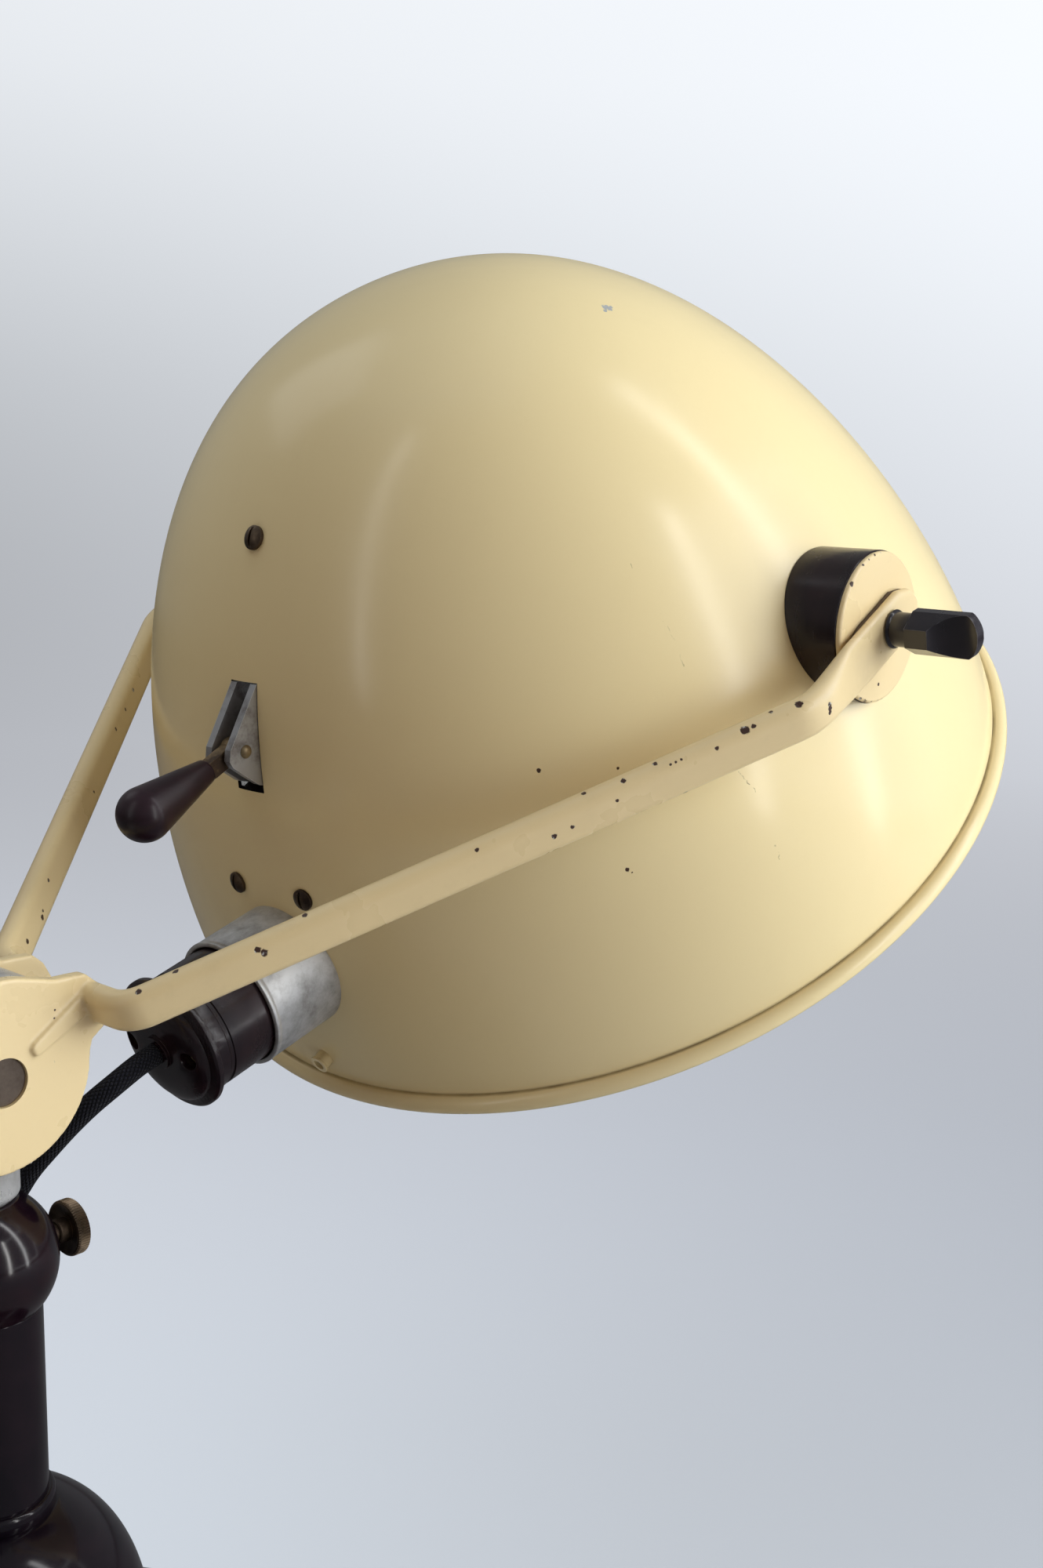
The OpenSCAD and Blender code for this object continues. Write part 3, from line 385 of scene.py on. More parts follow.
def metal(name, look):
    material, tree, shader = startFinish(name, {"Metallic": look.get("metallic", 0.85)})
    spots = noise(tree, 75.0, 6.0, 0.7)
    stain = fit(tree, spots, *look["stained"])
    color = mixColor(tree, stain, look["base"], look["stain"])
    edges = edgeWear(tree, 0.00035)
    color = mixColor(tree, times(tree, edges, 0.7), color, look["bright"])
    fine = noise(tree, 1400.0, 3.0, 0.6, place(tree, (1, 1, 0.2), (0.7, 0.4, 0.0)))
    drive(shader, "Base Color", color)
    rough = fit(tree, plus(tree, times(tree, spots, 0.6), times(tree, fine, 0.4)), 0.35, 0.7,
                look["roughness"] - 0.08, look["roughness"] + 0.2)
    drive(shader, "Roughness", rough)
    scratches = noise(tree, 300.0, 5.0, 0.8, place(tree, (1, 0.12, 1), (0.3, 0.5, 0.8)))
    addBump(tree, shader, plus(tree, times(tree, fine, look["grain"]),
                               times(tree, scratches, look.get("scratch", 0.6))), 0.12, 0.0003)
    return material


# plain finishes of the remaining parts
plainLooks = {
    "greenFelt": {"base": (0.035, 0.055, 0.032), "other": (0.06, 0.085, 0.05), "roughness": 0.95,
                  "scale": 900.0, "bump": 0.6, "depth": 0.0006},
    "brownFibre": {"base": (0.055, 0.035, 0.024), "other": (0.10, 0.065, 0.045), "roughness": 0.7,
                   "scale": 500.0, "bump": 0.3, "depth": 0.0003},
    "steatite": {"base": (0.72, 0.69, 0.60), "other": (0.62, 0.58, 0.48), "roughness": 0.42,
                 "scale": 120.0, "bump": 0.15, "depth": 0.0003},
    "clothTape": {"base": (0.30, 0.235, 0.13), "other": (0.22, 0.165, 0.085), "roughness": 0.85,
                  "scale": 1100.0, "bump": 0.5, "depth": 0.0004},
}


def plain(name, look):
    material, tree, shader = startFinish(name)
    grain = noise(tree, look["scale"], 4.0, 0.65)
    broad = noise(tree, 25.0, 3.0)
    share = plus(tree, times(tree, grain, 0.6), times(tree, broad, 0.4))
    share = fit(tree, share, 0.35, 0.65)
    drive(shader, "Base Color", mixColor(tree, share, look["base"], look["other"]))
    drive(shader, "Roughness", fit(tree, broad, 0.3, 0.7, look["roughness"] - 0.08,
                                   look["roughness"] + 0.05))
    addBump(tree, shader, grain, look["bump"], look["depth"])
    return material


def quartzGlass():
    material, tree, shader = startFinish("quartzGlass", {"Roughness": 0.03, "IOR": 1.46,
                                                         "Transmission Weight": 1.0})
    haze = fit(tree, noise(tree, 90.0, 3.0), 0.4, 0.7)
    drive(shader, "Base Color", mixColor(tree, haze, (0.93, 0.96, 0.97), (0.85, 0.9, 0.93)))
    drive(shader, "Roughness", fit(tree, haze, 0.0, 1.0, 0.02, 0.12))
    return material


# braided black textile: diamonds from the tube's own UV map (1 unit = one turn, 1 m)
braidLook = {"dark": (0.002, 0.002, 0.0035), "thread": (0.007, 0.007, 0.012), "strands": 16.0,
             "pitch": 620.0}


def braid(look):
    material, tree, shader = startFinish("braidedTextile", {
        "Roughness": 0.8, "Sheen Weight": 0.04, "Specular IOR Level": 0.25, "Sheen Roughness": 0.4})
    uv = add(tree, "UVMap").outputs[0]
    parts = add(tree, "SeparateXYZ", {0: uv})
    along = times(tree, parts.outputs[0], look["pitch"])
    around = times(tree, parts.outputs[1], look["strands"])
    waves = []
    for operation in ("ADD", "SUBTRACT"):
        phase = times(tree, calc(tree, operation, along, around), math.pi)
        waves.append(calc(tree, "ABSOLUTE", calc(tree, "SINE", phase)))
    height = times(tree, waves[0], waves[1])
    share = fit(tree, height, 0.1, 0.8)
    drive(shader, "Base Color", mixColor(tree, share, look["dark"], look["thread"]))
    addBump(tree, shader, height, 0.9, 0.0006)
    return material


finish = {"shadeEnamel": shadeEnamel(shadeLook), "yokeEnamel": yokeEnamel(yokeLook),
          "quartzGlass": quartzGlass(), "braidedTextile": braid(braidLook)}
for maker, looks in ((darkGloss, darkLooks), (metal, metalLooks), (plain, plainLooks)):
    finish.update({name: maker(name, look) for name, look in looks.items()})
print("finishes made")


# mesh helpers
def spinProfile(profile, steps=96, closed=False):
    # revolves (radius, height) pairs in millimetres round Z
    bm = bmesh.new()
    verts = [bm.verts.new((r * mm, 0, z * mm)) for r, z in profile]
    edges = [bm.edges.new(pair) for pair in zip(verts, verts[1:])]
    if closed:
        edges.append(bm.edges.new((verts[-1], verts[0])))
    bmesh.ops.spin(bm, geom=verts + edges, cent=(0, 0, 0), axis=(0, 0, 1), angle=math.tau,
                   steps=steps, use_merge=True)
    bmesh.ops.remove_doubles(bm, verts=bm.verts, dist=1e-6)
    bmesh.ops.dissolve_degenerate(bm, edges=bm.edges, dist=1e-7)
    return bm


def joinRings(bm, rings, capped=False):
    # bridges closed rings of vertices one after another
    before = None
    for ring in rings:
        edges = [bm.edges.new(pair) for pair in zip(ring, ring[1:] + ring[:1])]
        if before:
            bmesh.ops.bridge_loops(bm, edges=before + edges)
        before = edges
    if capped:
        bm.faces.new(rings[0])
        bm.faces.new(rings[-1])


def cylinder(bm, radius, depth, where, segments):
    bmesh.ops.create_cone(bm, cap_ends=True, segments=segments, radius1=radius * mm,
                          radius2=radius * mm, depth=depth * mm, matrix=where)


def toMesh(name, bm):
    mesh = bpy.data.meshes.new(name)
    bm.to_mesh(mesh)
    bm.free()
    return mesh


def smoothShade(mesh, angle):
    mesh.shade_smooth()
    mesh.set_sharp_from_angle(angle=math.radians(angle))


def roundEdges(piece, width, segments=3, angle=32):
    bevel = piece.modifiers.new("edges", "BEVEL")
    bevel.width = width * mm
    bevel.segments = segments
    bevel.limit_method = "ANGLE"
    bevel.angle_limit = math.radians(angle)
    bevel.harden_normals = True
    return piece


def settle(name, bm, where, body, nodes, material, smooth=32):
    # turns a finished bmesh into a piece that rides on its body
    bmesh.ops.transform(bm, matrix=where, verts=bm.verts)
    bmesh.ops.recalc_face_normals(bm, faces=bm.faces)
    mesh = toMesh(name, bm)
    smoothShade(mesh, smooth)
    mesh.materials.append(finish[material])
    piece = newObject(name, mesh)
    if body:
        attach(piece, body)
    if nodes:
        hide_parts(*nodes)
    return piece


def fromCad(*nodes):
    bm = bmesh.new()
    for node in nodes:
        bm.from_mesh(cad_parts[node].data)
    bmesh.ops.remove_doubles(bm, verts=bm.verts, dist=2e-6)
    bmesh.ops.dissolve_degenerate(bm, edges=bm.edges, dist=1e-6)
    bmesh.ops.dissolve_limit(bm, angle_limit=math.radians(0.6), verts=bm.verts, edges=bm.edges)
    for face in bm.faces:
        face.material_index = 0
    return bm


def bake(piece):
    # puts the modifiers' result into the mesh
    graph = bpy.context.evaluated_depsgraph_get()
    mesh = bpy.data.meshes.new_from_object(piece.evaluated_get(graph))
    old = piece.data
    piece.modifiers.clear()
    piece.data = mesh
    bpy.data.meshes.remove(old)
    return piece


def cutWith(piece, cutter):
    # takes the cutter's volume out of the piece and puts the result into its mesh
    bmesh.ops.recalc_face_normals(cutter, faces=cutter.faces)
    tool = newObject("cutter", toMesh("cutter", cutter))
    cut = piece.modifiers.new("cut", "BOOLEAN")
    cut.object = tool
    cut.solver = "EXACT"
    bpy.context.view_layer.update()
    bake(piece)
    bpy.data.objects.remove(tool)


# the lead: one route in three stretches, each listed with the two bodies that it spans
leadRoute = {
    "radius": 3.1, "perSpan": 8, "exit": (54.895, 0, 215.013), "out": (-0.955793, 0, -0.29404),
    "upper": [(41.5, 0.5, 209.6), (35.5, 3, 204.9), (31, 6.5, 199.3), (27.5, 10.5, 193.2),
              (24.2, 14.5, 186.8), (21.3, 18, 179.5), (18, 21.2, 172.5), (14, 24, 165)],
    "middle": [(14, 24, 165), (7, 28.3, 151), (0, 33, 137), (-6.5, 37.5, 121), (-12, 42, 105)],
    "drop": [(-12, 42, 105), (-18, 51, 85), (-25, 62, 66), (-38, 86, 36), (-46, 106, 17),
             (-50, 124, 7.5), (-53, 141, 4.1)],
    "tail": [(-61, 184, 10.4), (-66, 200, 9.8)], "plugRear": (-76, 219, 9.5), "plugTurn": 120,
    "coil": {"center": (-100, 150), "inner": 24, "pitch": 6.9, "turns": 3, "entry": 12,
             "floor": 4.1, "layer": 6.8, "steps": 24},
}


def smoothCurve(points, count):
    points = [Vector(p) for p in points]
    ends = [2 * points[0] - points[1]] + points + [2 * points[-1] - points[-2]]
    found = []
    for i in range(len(points) - 1):
        a, b, c, d = ends[i:i + 4]
        for k in range(count):
            t = k / count
            found.append(0.5 * (2 * b + (c - a) * t + (2 * a - 5 * b + 4 * c - d) * t * t
                                + (3 * b - a - 3 * c + d) * t * t * t))
    return found + [points[-1]]


def coilLine(coil):
    found = []
    turns, steps = coil["turns"], coil["steps"]
    for i in range(2 * turns * steps + 1):
        t = i / steps
        radius = coil["inner"] + coil["pitch"] * abs(t - turns)
        share = min(1, max(0, (t - turns) / 0.5 + 0.5))
        rise = coil["layer"] * share * share * (3 - 2 * share)
        angle = math.radians(coil["entry"] + 360 * t)
        found.append(Vector((coil["center"][0] + radius * math.cos(angle),
                             coil["center"][1] + radius * math.sin(angle), coil["floor"] + rise)))
    return found


def leadMesh(name, points, radius):
    # a bevelled curve turned into a mesh, its UV map scaled to metres along the lead
    curve = bpy.data.curves.new(name, "CURVE")
    curve.dimensions = "3D"
    curve.bevel_depth = radius * mm
    curve.bevel_resolution = 5
    curve.use_fill_caps = True
    line = curve.splines.new("POLY")
    line.points.add(len(points) - 1)
    for point, target in zip(line.points, points):
        point.co = (*(target * mm), 1)
    holder = newObject(name + "Curve", curve)
    graph = bpy.context.evaluated_depsgraph_get()
    mesh = bpy.data.meshes.new_from_object(holder.evaluated_get(graph))
    bpy.data.objects.remove(holder)
    length = sum((b - a).length for a, b in zip(points, points[1:])) * mm
    for layer in mesh.uv_layers:
        for loop in layer.data:
            loop.uv.x *= length
    mesh.name = name
    mesh.shade_smooth()
    mesh.materials.append(finish["braidedTextile"])
    return newObject(name, mesh), length


def makeLead(route):
    start, out = Vector(route["exit"]), Vector(route["out"])
    coil = coilLine(route["coil"])
    entry = math.radians(route["coil"]["entry"])
    tangent = Vector((-math.sin(entry), math.cos(entry), 0))
    ahead = Vector((math.cos(math.radians(route["plugTurn"])),
                    math.sin(math.radians(route["plugTurn"])), 0))
    rear = Vector(route["plugRear"])
    width = 2 * route["radius"]
    upper = [start, start + width * out] + [Vector(p) for p in route["upper"]]
    drop = [Vector(p) for p in route["drop"]] + [coil[0] - width * tangent, coil[0]]
    tail = ([coil[-1], coil[-1] + width * tangent] + [Vector(p) for p in route["tail"]]
            + [rear - width * ahead, rear])
    lower = (smoothCurve(drop, route["perSpan"])[:-1] + [coil[0], coil[0] + width * tangent]
             + coil[2:-2] + [coil[-1] - width * tangent]
             + smoothCurve(tail, route["perSpan"]))
    stretches = [("leadUpper", smoothCurve(upper, route["perSpan"]), ("head", "yoke"),
                  (0.055, 0, 0.215), (0.014, 0.024, 0.165), ["cord_head"]),
                 ("leadMiddle", smoothCurve(route["middle"], route["perSpan"]), ("yoke", "neck"),
                  (0.014, 0.024, 0.165), (-0.012, 0.042, 0.105), ["cord_neck"]),
                 ("leadLower", lower, ("neck", "stand"), (-0.012, 0.042, 0.105),
                  (-0.046, 0.106, 0.017), ["cord_drop", "cord_coil", "cord_tail"])]
    made = []
    for name, points, bodies, begin, end, nodes in stretches:
        piece, length = leadMesh(name, points, route["radius"])
        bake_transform(piece)
        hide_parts(*nodes)
        made.append((piece, length, [p * mm for p in points]))
    return made


lead = makeLead(leadRoute)
print("lead laid")


# the shade: spun shell with its openings, and the rolled rim
shadeForm = {"rim": 138.2, "height": 184.7, "power": 1.71, "root": 0.453, "sheet": 1.2,
             "stations": 90, "steps": 240, "bead": 3.0, "beadAt": 139.0,
             "slot": (30, 10.8, 27.2), "slotAt": (-111, 0, 30.6), "inletHole": 16,
             "ventHole": 2.4, "ventAt": (-140, 0, -69.8),
             # cut faces inside the slot, painted black as painted shade: nearest x, half width, lowest
             # and highest z
             "slotShadeSkin": (-95, 5.6, 16.8, 44.4)}


def shadeRadius(form, height):
    share = max(0.0, 1 - (height / form["height"]) ** form["power"])
    return form["rim"] * share ** form["root"]


def makeShade(form):
    outer = []
    for i in range(form["stations"] + 1):
        height = form["height"] * math.sin(math.pi / 2 * i / form["stations"])
        outer.append((shadeRadius(form, height), height))
    outer[-1] = (0, form["height"])
    scale = (1 - form["sheet"] / form["rim"], 1 - form["sheet"] / form["height"])
    inner = [(r * scale[0], z * scale[1]) for r, z in outer]
    bm = spinProfile(outer[::-1] + inner, form["steps"])
    shell = settle("shadeShell", bm, rimFrame, None, ["shade"], "shadeEnamel")
    shell.data.materials.append(finish["spunAluminium"])
    center = rimFrame @ Vector((0, 0, 0.01))
    for face in shell.data.polygons:
        if face.normal.dot(face.center - center) < 0:
            face.material_index = 1
    cutter = bmesh.new()
    bmesh.ops.create_cube(cutter, size=mm, matrix=headFrame @ shifted(*form["slotAt"])
                          @ Matrix.Diagonal((*form["slot"], 1)))
    cylinder(cutter, form["inletHole"], 40, inletFrame @ shifted(0, 0, -20), 48)
    cylinder(cutter, form["ventHole"], 20, headFrame @ shifted(*form["ventAt"]) @ turned(90, "Y"), 24)
    cutWith(shell, cutter)
    # third slot, black: painted shade on the cut faces inside the slot
    shell.data.materials.append(finish["blackEnamel"])
    back = headFrame.inverted()
    far, half, low, high = [c * mm for c in form["slotShadeSkin"]]
    for face in shell.data.polygons:
        spot = back @ face.center
        lean = (back.to_3x3() @ face.normal).x
        if spot.x < far and abs(spot.y) < half and low < spot.z < high and abs(lean) < 0.4:
            face.material_index = 2
    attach(shell, "head")
    bead = [(form["beadAt"] + form["bead"] * math.cos(a * math.tau / 28),
             form["bead"] * math.sin(a * math.tau / 28)) for a in range(28)]
    settle("rimBead", spinProfile(bead, form["steps"], True), rimFrame, "head", ["rim_ring"],
           "shadeEnamel", 80)


makeShade(shadeForm)
print("shade spun")


# yoke arms: cheek, ear, rib, swept flat-oval tube and end plate, fused and smoothed
armForm = {"rootU": 30.2, "cornerV": 26.8, "rootBend": 10, "endBend": 16, "spread": 35.2,
           "endV": 135.5, "wide": 11.7, "thick": 6.8, "plateWide": 15, "plateThick": 3,
           "flatU": 207, "cheek": 24.7, "cheekAt": (0.5, 1.0), "cheekOut": 13.5,
           "cheekThick": 4, "pin": 12.5, "stud": 3.05, "studU": 225, "voxel": 0.44,
           # where the end plate narrows: place along the arm and width there
           "point": [(232, 15), (237.4, 10.6), (239.8, 3.6)]}


earOutline = [(0, 20), (17.5, 18.8), (20.3, 16.4), (24.3, 12.6), (28.4, 10.2), (31.8, 8), (33.2, 4),
              (33.2, -4), (31.8, -7), (24.7, -8), (21.6, -11.2), (18.5, -15.2), (0, -20)]
ribOutline = [(9.5, 0.4), (11, -0.1), (28, -0.6), (28, 5.2), (11, 3.5), (9.5, 2.8)]


def ovalRing(bm, wide, thick):
    # flat-oval ring in the XZ plane, thin along X and tall along Z
    ring = []
    for side in (1, -1):
        for k in range(13):
            a = math.pi * k / 12
            ring.append(bm.verts.new((side * thick / 2 * math.cos(a) * mm, 0,
                                      side * ((wide - thick) / 2 + thick / 2 * math.sin(a)) * mm)))
    return ring


def sweepArm(bm, form):
    # rings set along the arm's plan and bridged: x along the yoke, y outward, z across
    turn = math.radians(form["spread"])
    bendV = form["cornerV"] - form["rootBend"] * math.tan(math.pi / 4 - turn / 2)
    reach = (form["endV"] - form["cornerV"]) / math.tan(turn)
    endU = form["rootU"] + reach + form["endBend"] * math.tan(turn / 2)
    stations = [(form["rootU"], form["cheekOut"] - 2.5, math.pi / 2, form["wide"], form["thick"])]
    for i in range(13):
        a = math.pi / 2 - (math.pi / 2 - turn) * i / 12
        stations.append((form["rootU"] + form["rootBend"] * (1 - math.sin(a)),
                         bendV + form["rootBend"] * math.cos(a), a, form["wide"], form["thick"]))
    for i in range(9):
        a = turn * (1 - i / 8)
        stations.append((endU - form["endBend"] * math.sin(a),
                         form["endV"] - form["endBend"] * (1 - math.cos(a)), a,
                         form["wide"], form["thick"]))
    for i in range(1, 9):
        t = i / 8
        share = t * t * (3 - 2 * t)
        stations.append((endU + (form["flatU"] - endU) * t, form["endV"], 0,
                         form["wide"] + (form["plateWide"] - form["wide"]) * share,
                         form["thick"] + (form["plateThick"] - form["thick"]) * share))
    stations += [(u, form["endV"], 0, wide, form["plateThick"]) for u, wide in form["point"]]
    rings = []
    for u, v, heading, wide, thick in stations:
        rings.append(ovalRing(bm, wide, thick))
        where = shifted(u, v, 0) @ Matrix.Rotation(heading - math.pi / 2, 4, "Z")
        bmesh.ops.transform(bm, matrix=where, verts=rings[-1])
    joinRings(bm, rings, True)


def plate(bm, outline, low, high):
    # upright plate: outline in (u, w), from v = low to high
    verts = [bm.verts.new((u * mm, low * mm, w * mm)) for u, w in outline]
    face = bm.faces.new(verts)
    made = bmesh.ops.extrude_face_region(bm, geom=[face])
    moved = [v for v in made["geom"] if isinstance(v, bmesh.types.BMVert)]
    bmesh.ops.translate(bm, verts=moved, vec=(0, (high - low) * mm, 0))


def makeArm(form, side, name, node):
    bm = bmesh.new()
    out, thick = form["cheekOut"], form["cheekThick"]
    circle = [(form["cheekAt"][0] + form["cheek"] * math.cos(a * math.tau / 96),
               form["cheekAt"][1] + form["cheek"] * math.sin(a * math.tau / 96)) for a in range(96)]
    plate(bm, circle, out - thick, out)
    plate(bm, earOutline, out - thick, out - 0.02)
    plate(bm, ribOutline, out - 1, out + 1.3)
    sweepArm(bm, form)
    mirror = yokeFrame @ Matrix.Diagonal((1, side, 1, 1))
    holes = bmesh.new()
    for radius, u in ((form["pin"] / 2, 0), (form["stud"], form["studU"])):
        cylinder(holes, radius, 400, mirror @ shifted(u, 0, 0) @ turned(90, "X"), 64)
    arm = settle(name, bm, mirror, None, [node], "yokeEnamel")
    fuse = arm.modifiers.new("fuse", "REMESH")
    fuse.mode = "VOXEL"
    fuse.voxel_size = form["voxel"] * mm
    ease = arm.modifiers.new("ease", "SMOOTH")
    ease.factor = 0.5
    ease.iterations = 8
    cutWith(arm, holes)
    smoothShade(arm.data, 50)
    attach(arm, "yoke")


makeArm(armForm, -1, "armRight", "right_arm")
makeArm(armForm, 1, "armLeft", "left_arm")
print("arms formed")


# base, turned as one casting
baseForm = {"pot": 40.8, "potHeight": 53.4, "crown": 54.7, "power": 0.8, "top": 105.82,
            "flat": 16.3, "bore": 5.3, "rim": 1.2, "steps": 200, "foot": 110, "wall": 3,
            # centre and half sizes of the hollow sweep below the pot and of the rounded lip
            "sweep": (74.8, 45.4, 34, 27.4), "lip": (98, 8, 12, 8),
            "roof": [(37.8, 53.4), (36.6, 75), (30, 94), (13.3, 102.8)],
            "ring": [(14.5, 0), (15.9, 0), (16.1, 0.25), (16.1, 3.3), (15.95, 3.9), (15.6, 4.4),
                     (15.1, 4.6), (14.5, 4.6)]}


def arcPoints(cx, cz, rx, rz, start, end, count):
    return [(cx + rx * math.cos(math.radians(start + (end - start) * i / count)),
             cz + rz * math.sin(math.radians(start + (end - start) * i / count)))
            for i in range(count + 1)]


def makeBase(form):
    crown = []
    for i in range(49):
        a = math.pi / 2 * i / 48
        crown.append((form["pot"] * math.sin(a) ** form["power"],
                      form["potHeight"] + form["crown"] * math.cos(a) ** form["power"]))
    crown = [p for p in crown if p[0] > form["flat"] + 0.6]
    foot, rim, wall = form["foot"], form["rim"], form["wall"]
    sweepX, sweepZ, sweepWide, sweepTall = form["sweep"]
    lipX, lipZ, lipWide, lipTall = form["lip"]
    outer = ([(form["bore"], form["top"]), (form["flat"], form["top"])] + crown
             + arcPoints(*form["sweep"], 181, 270, 30) + arcPoints(*form["lip"], 82, 0, 20)
             + [(foot, rim + 0.3), (foot - 0.3, rim)])
    inner = ([(foot - wall, rim)] + arcPoints(lipX, lipZ, lipWide - wall, lipTall - wall, 0, 80, 8)
             + arcPoints(sweepX, sweepZ, sweepWide + wall, sweepTall + wall, 270, 180, 14)
             + form["roof"] + [(form["bore"], form["roof"][-1][1])])
    settle("baseCasting", spinProfile(outer + inner, form["steps"], True), Matrix.Identity(4),
           "stand", ["base_cover"], "blackEnamel", 50)
    settle("columnRing", spinProfile(form["ring"], 96, True), shifted(0, 0, form["top"]), "stand",
           ["column_ring"], "blackEnamel", 40)


makeBase(baseForm)


# thumb screw: turned stem and a dished disc with fine straight knurls
# its profile gives heights and radii, and None where the knurls stand
thumbForm = {"teeth": 60, "outer": 7.5, "root": 7.0, "profile": [
    (27.3, 0.01), (27.4, 3.0), (27.6, 5.0), (27.9, 6.2), (27.9, 6.6), (27.6, 7.1), (27.3, None),
    (24.6, None), (24.1, 7.0), (23.9, 6.6), (24.3, 5.4), (24.7, 3.7), (24.7, 3.3), (21.6, 3.3),
    (21.3, 3.0), (21.3, 2.5), (6.2, 2.5), (5.8, 2.1), (5.8, 0.01)]}


def makeThumbScrew(form):
    bm = bmesh.new()
    count = 2 * form["teeth"]
    rings = []
    for height, radius in form["profile"]:
        ring = []
        for k in range(count):
            r = radius or (form["outer"] if k % 2 else form["root"])
            a = math.tau * k / count
            ring.append(bm.verts.new((r * math.cos(a) * mm, r * math.sin(a) * mm, height * mm)))
        rings.append(ring)
    joinRings(bm, rings)
    bmesh.ops.remove_doubles(bm, verts=bm.verts, dist=2e-5)
    where = shifted(0, 0, 174.5) @ turned(90, "Y")
    settle("thumbScrew", bm, where, "clamp", ["clamp_screw"], "brownedScrew", 28)


makeThumbScrew(thumbForm)


# ball head, and the cast neck whose foot turns in it
ballForm = {"at": 174.5, "radius": 19, "seat": -12.28, "top": 16.6, "bore": 8.05, "boreFoot": -9,
            "rodHole": 5.05, "screw": 2.55}
neckForm = {"foot": 187.6, "spigot": 7.6, "rest": 191.45, "radius": 9.9, "flange": 200.2,
            "clear": 20}


def makeBall(form):
    low = math.degrees(math.asin(form["seat"] / form["radius"]))
    high = math.degrees(math.asin(form["top"] / form["radius"]))
    profile = arcPoints(0, 0, form["radius"], form["radius"], low, high - 1.5, 48)
    rim = profile[-1][0] - 0.35
    profile += [(rim, form["top"]), (form["bore"] + 0.25, form["top"]),
                (form["bore"], form["top"] - 0.25), (form["bore"], form["boreFoot"]),
                (form["rodHole"], form["boreFoot"]), (form["rodHole"], form["seat"])]
    ball = settle("ballHead", spinProfile(profile, 96, True), shifted(0, 0, form["at"]), None,
                  ["ball_head"], "ballEnamel", 40)
    cutter = bmesh.new()
    cylinder(cutter, form["screw"], 30, shifted(16, 0, form["at"]) @ turned(90, "Y"), 32)
    cutWith(ball, cutter)
    smoothShade(ball.data, 40)
    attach(ball, "stand")


def makeNeck(form):
    neck = settle("swivelNeck", fromCad("swivel_neck"), Matrix.Identity(4), None,
                  ["swivel_neck"], "castAluminium")
    r = form["radius"]
    foot = [(form["spigot"], form["foot"] - 1), (form["spigot"], form["rest"]),
            (r - 2.2, form["rest"])]
    foot += arcPoints(r - 2.2, form["rest"] + 2.2, 2.2, 2.2, -80, 0, 8)
    foot += [(r, form["flange"] - 0.9), (r + 0.3, form["flange"] - 0.2),
             (form["clear"], form["flange"]), (form["clear"], form["foot"] - 1)]
    cutWith(neck, spinProfile(foot, 96, True))
    clean = bmesh.new()
    clean.from_mesh(neck.data)
    bmesh.ops.remove_doubles(clean, verts=clean.verts, dist=2e-5)
    bmesh.ops.dissolve_degenerate(clean, edges=clean.edges, dist=1e-5)
    bmesh.ops.dissolve_limit(clean, angle_limit=math.radians(1), verts=clean.verts,
                             edges=clean.edges)
    clean.to_mesh(neck.data)
    clean.free()
    smoothShade(neck.data, 32)
    roundEdges(neck, 0.4)
    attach(neck, "neck")


makeBall(ballForm)
makeNeck(neckForm)


# inlet collar: drawn tube with a rolled mouth, trimmed where it meets the shade
collarForm = {"outer": 19.5, "inner": 18.05, "deep": -40}


def makeCollar(form):
    outer, inner = form["outer"], form["inner"]
    profile = [(inner, form["deep"]), (inner, -0.5), (inner + 0.15, -0.15), (inner + 0.5, 0),
               (outer - 0.45, -0.05), (outer - 0.1, -0.3), (outer, -0.75), (outer - 0.05, -1.3),
               (outer - 0.35, -1.8), (outer - 0.35, -2.4), (outer - 0.15, -2.9), (outer - 0.1, -24),
               (outer, form["deep"])]
    collar = settle("inletCollar", spinProfile(profile, 128, True), inletFrame, None, ["collar"],
                    "scuffedAluminium", 40)
    skin = [(shadeRadius(shadeForm, z), z) for z in
            [shadeForm["height"] * math.sin(math.pi / 2 * i / 48) for i in range(48)]]
    skin.append((0, shadeForm["height"]))
    cutter = spinProfile([(0, -6), (shadeForm["rim"], -6)] + skin, 128)
    bmesh.ops.transform(cutter, matrix=rimFrame, verts=cutter.verts)
    cutWith(collar, cutter)
    smoothShade(collar.data, 40)
    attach(collar, "head")


makeCollar(collarForm)


# wing knobs: six-sided bars on a round shank, scooped from both sides to a blade
knobForm = {"foot": 137.4, "block": 144.0, "tip": 162.6, "shank": 4.7, "bore": 3.05,
            "boreEnd": 151, "depth": 6.8, "flat": 2.6, "tall": 6.0, "web": 1.5, "scoop": 11,
            "round": 8.2, "lip": 5.2, "boreFoot": 130, "scoopAt": 160}


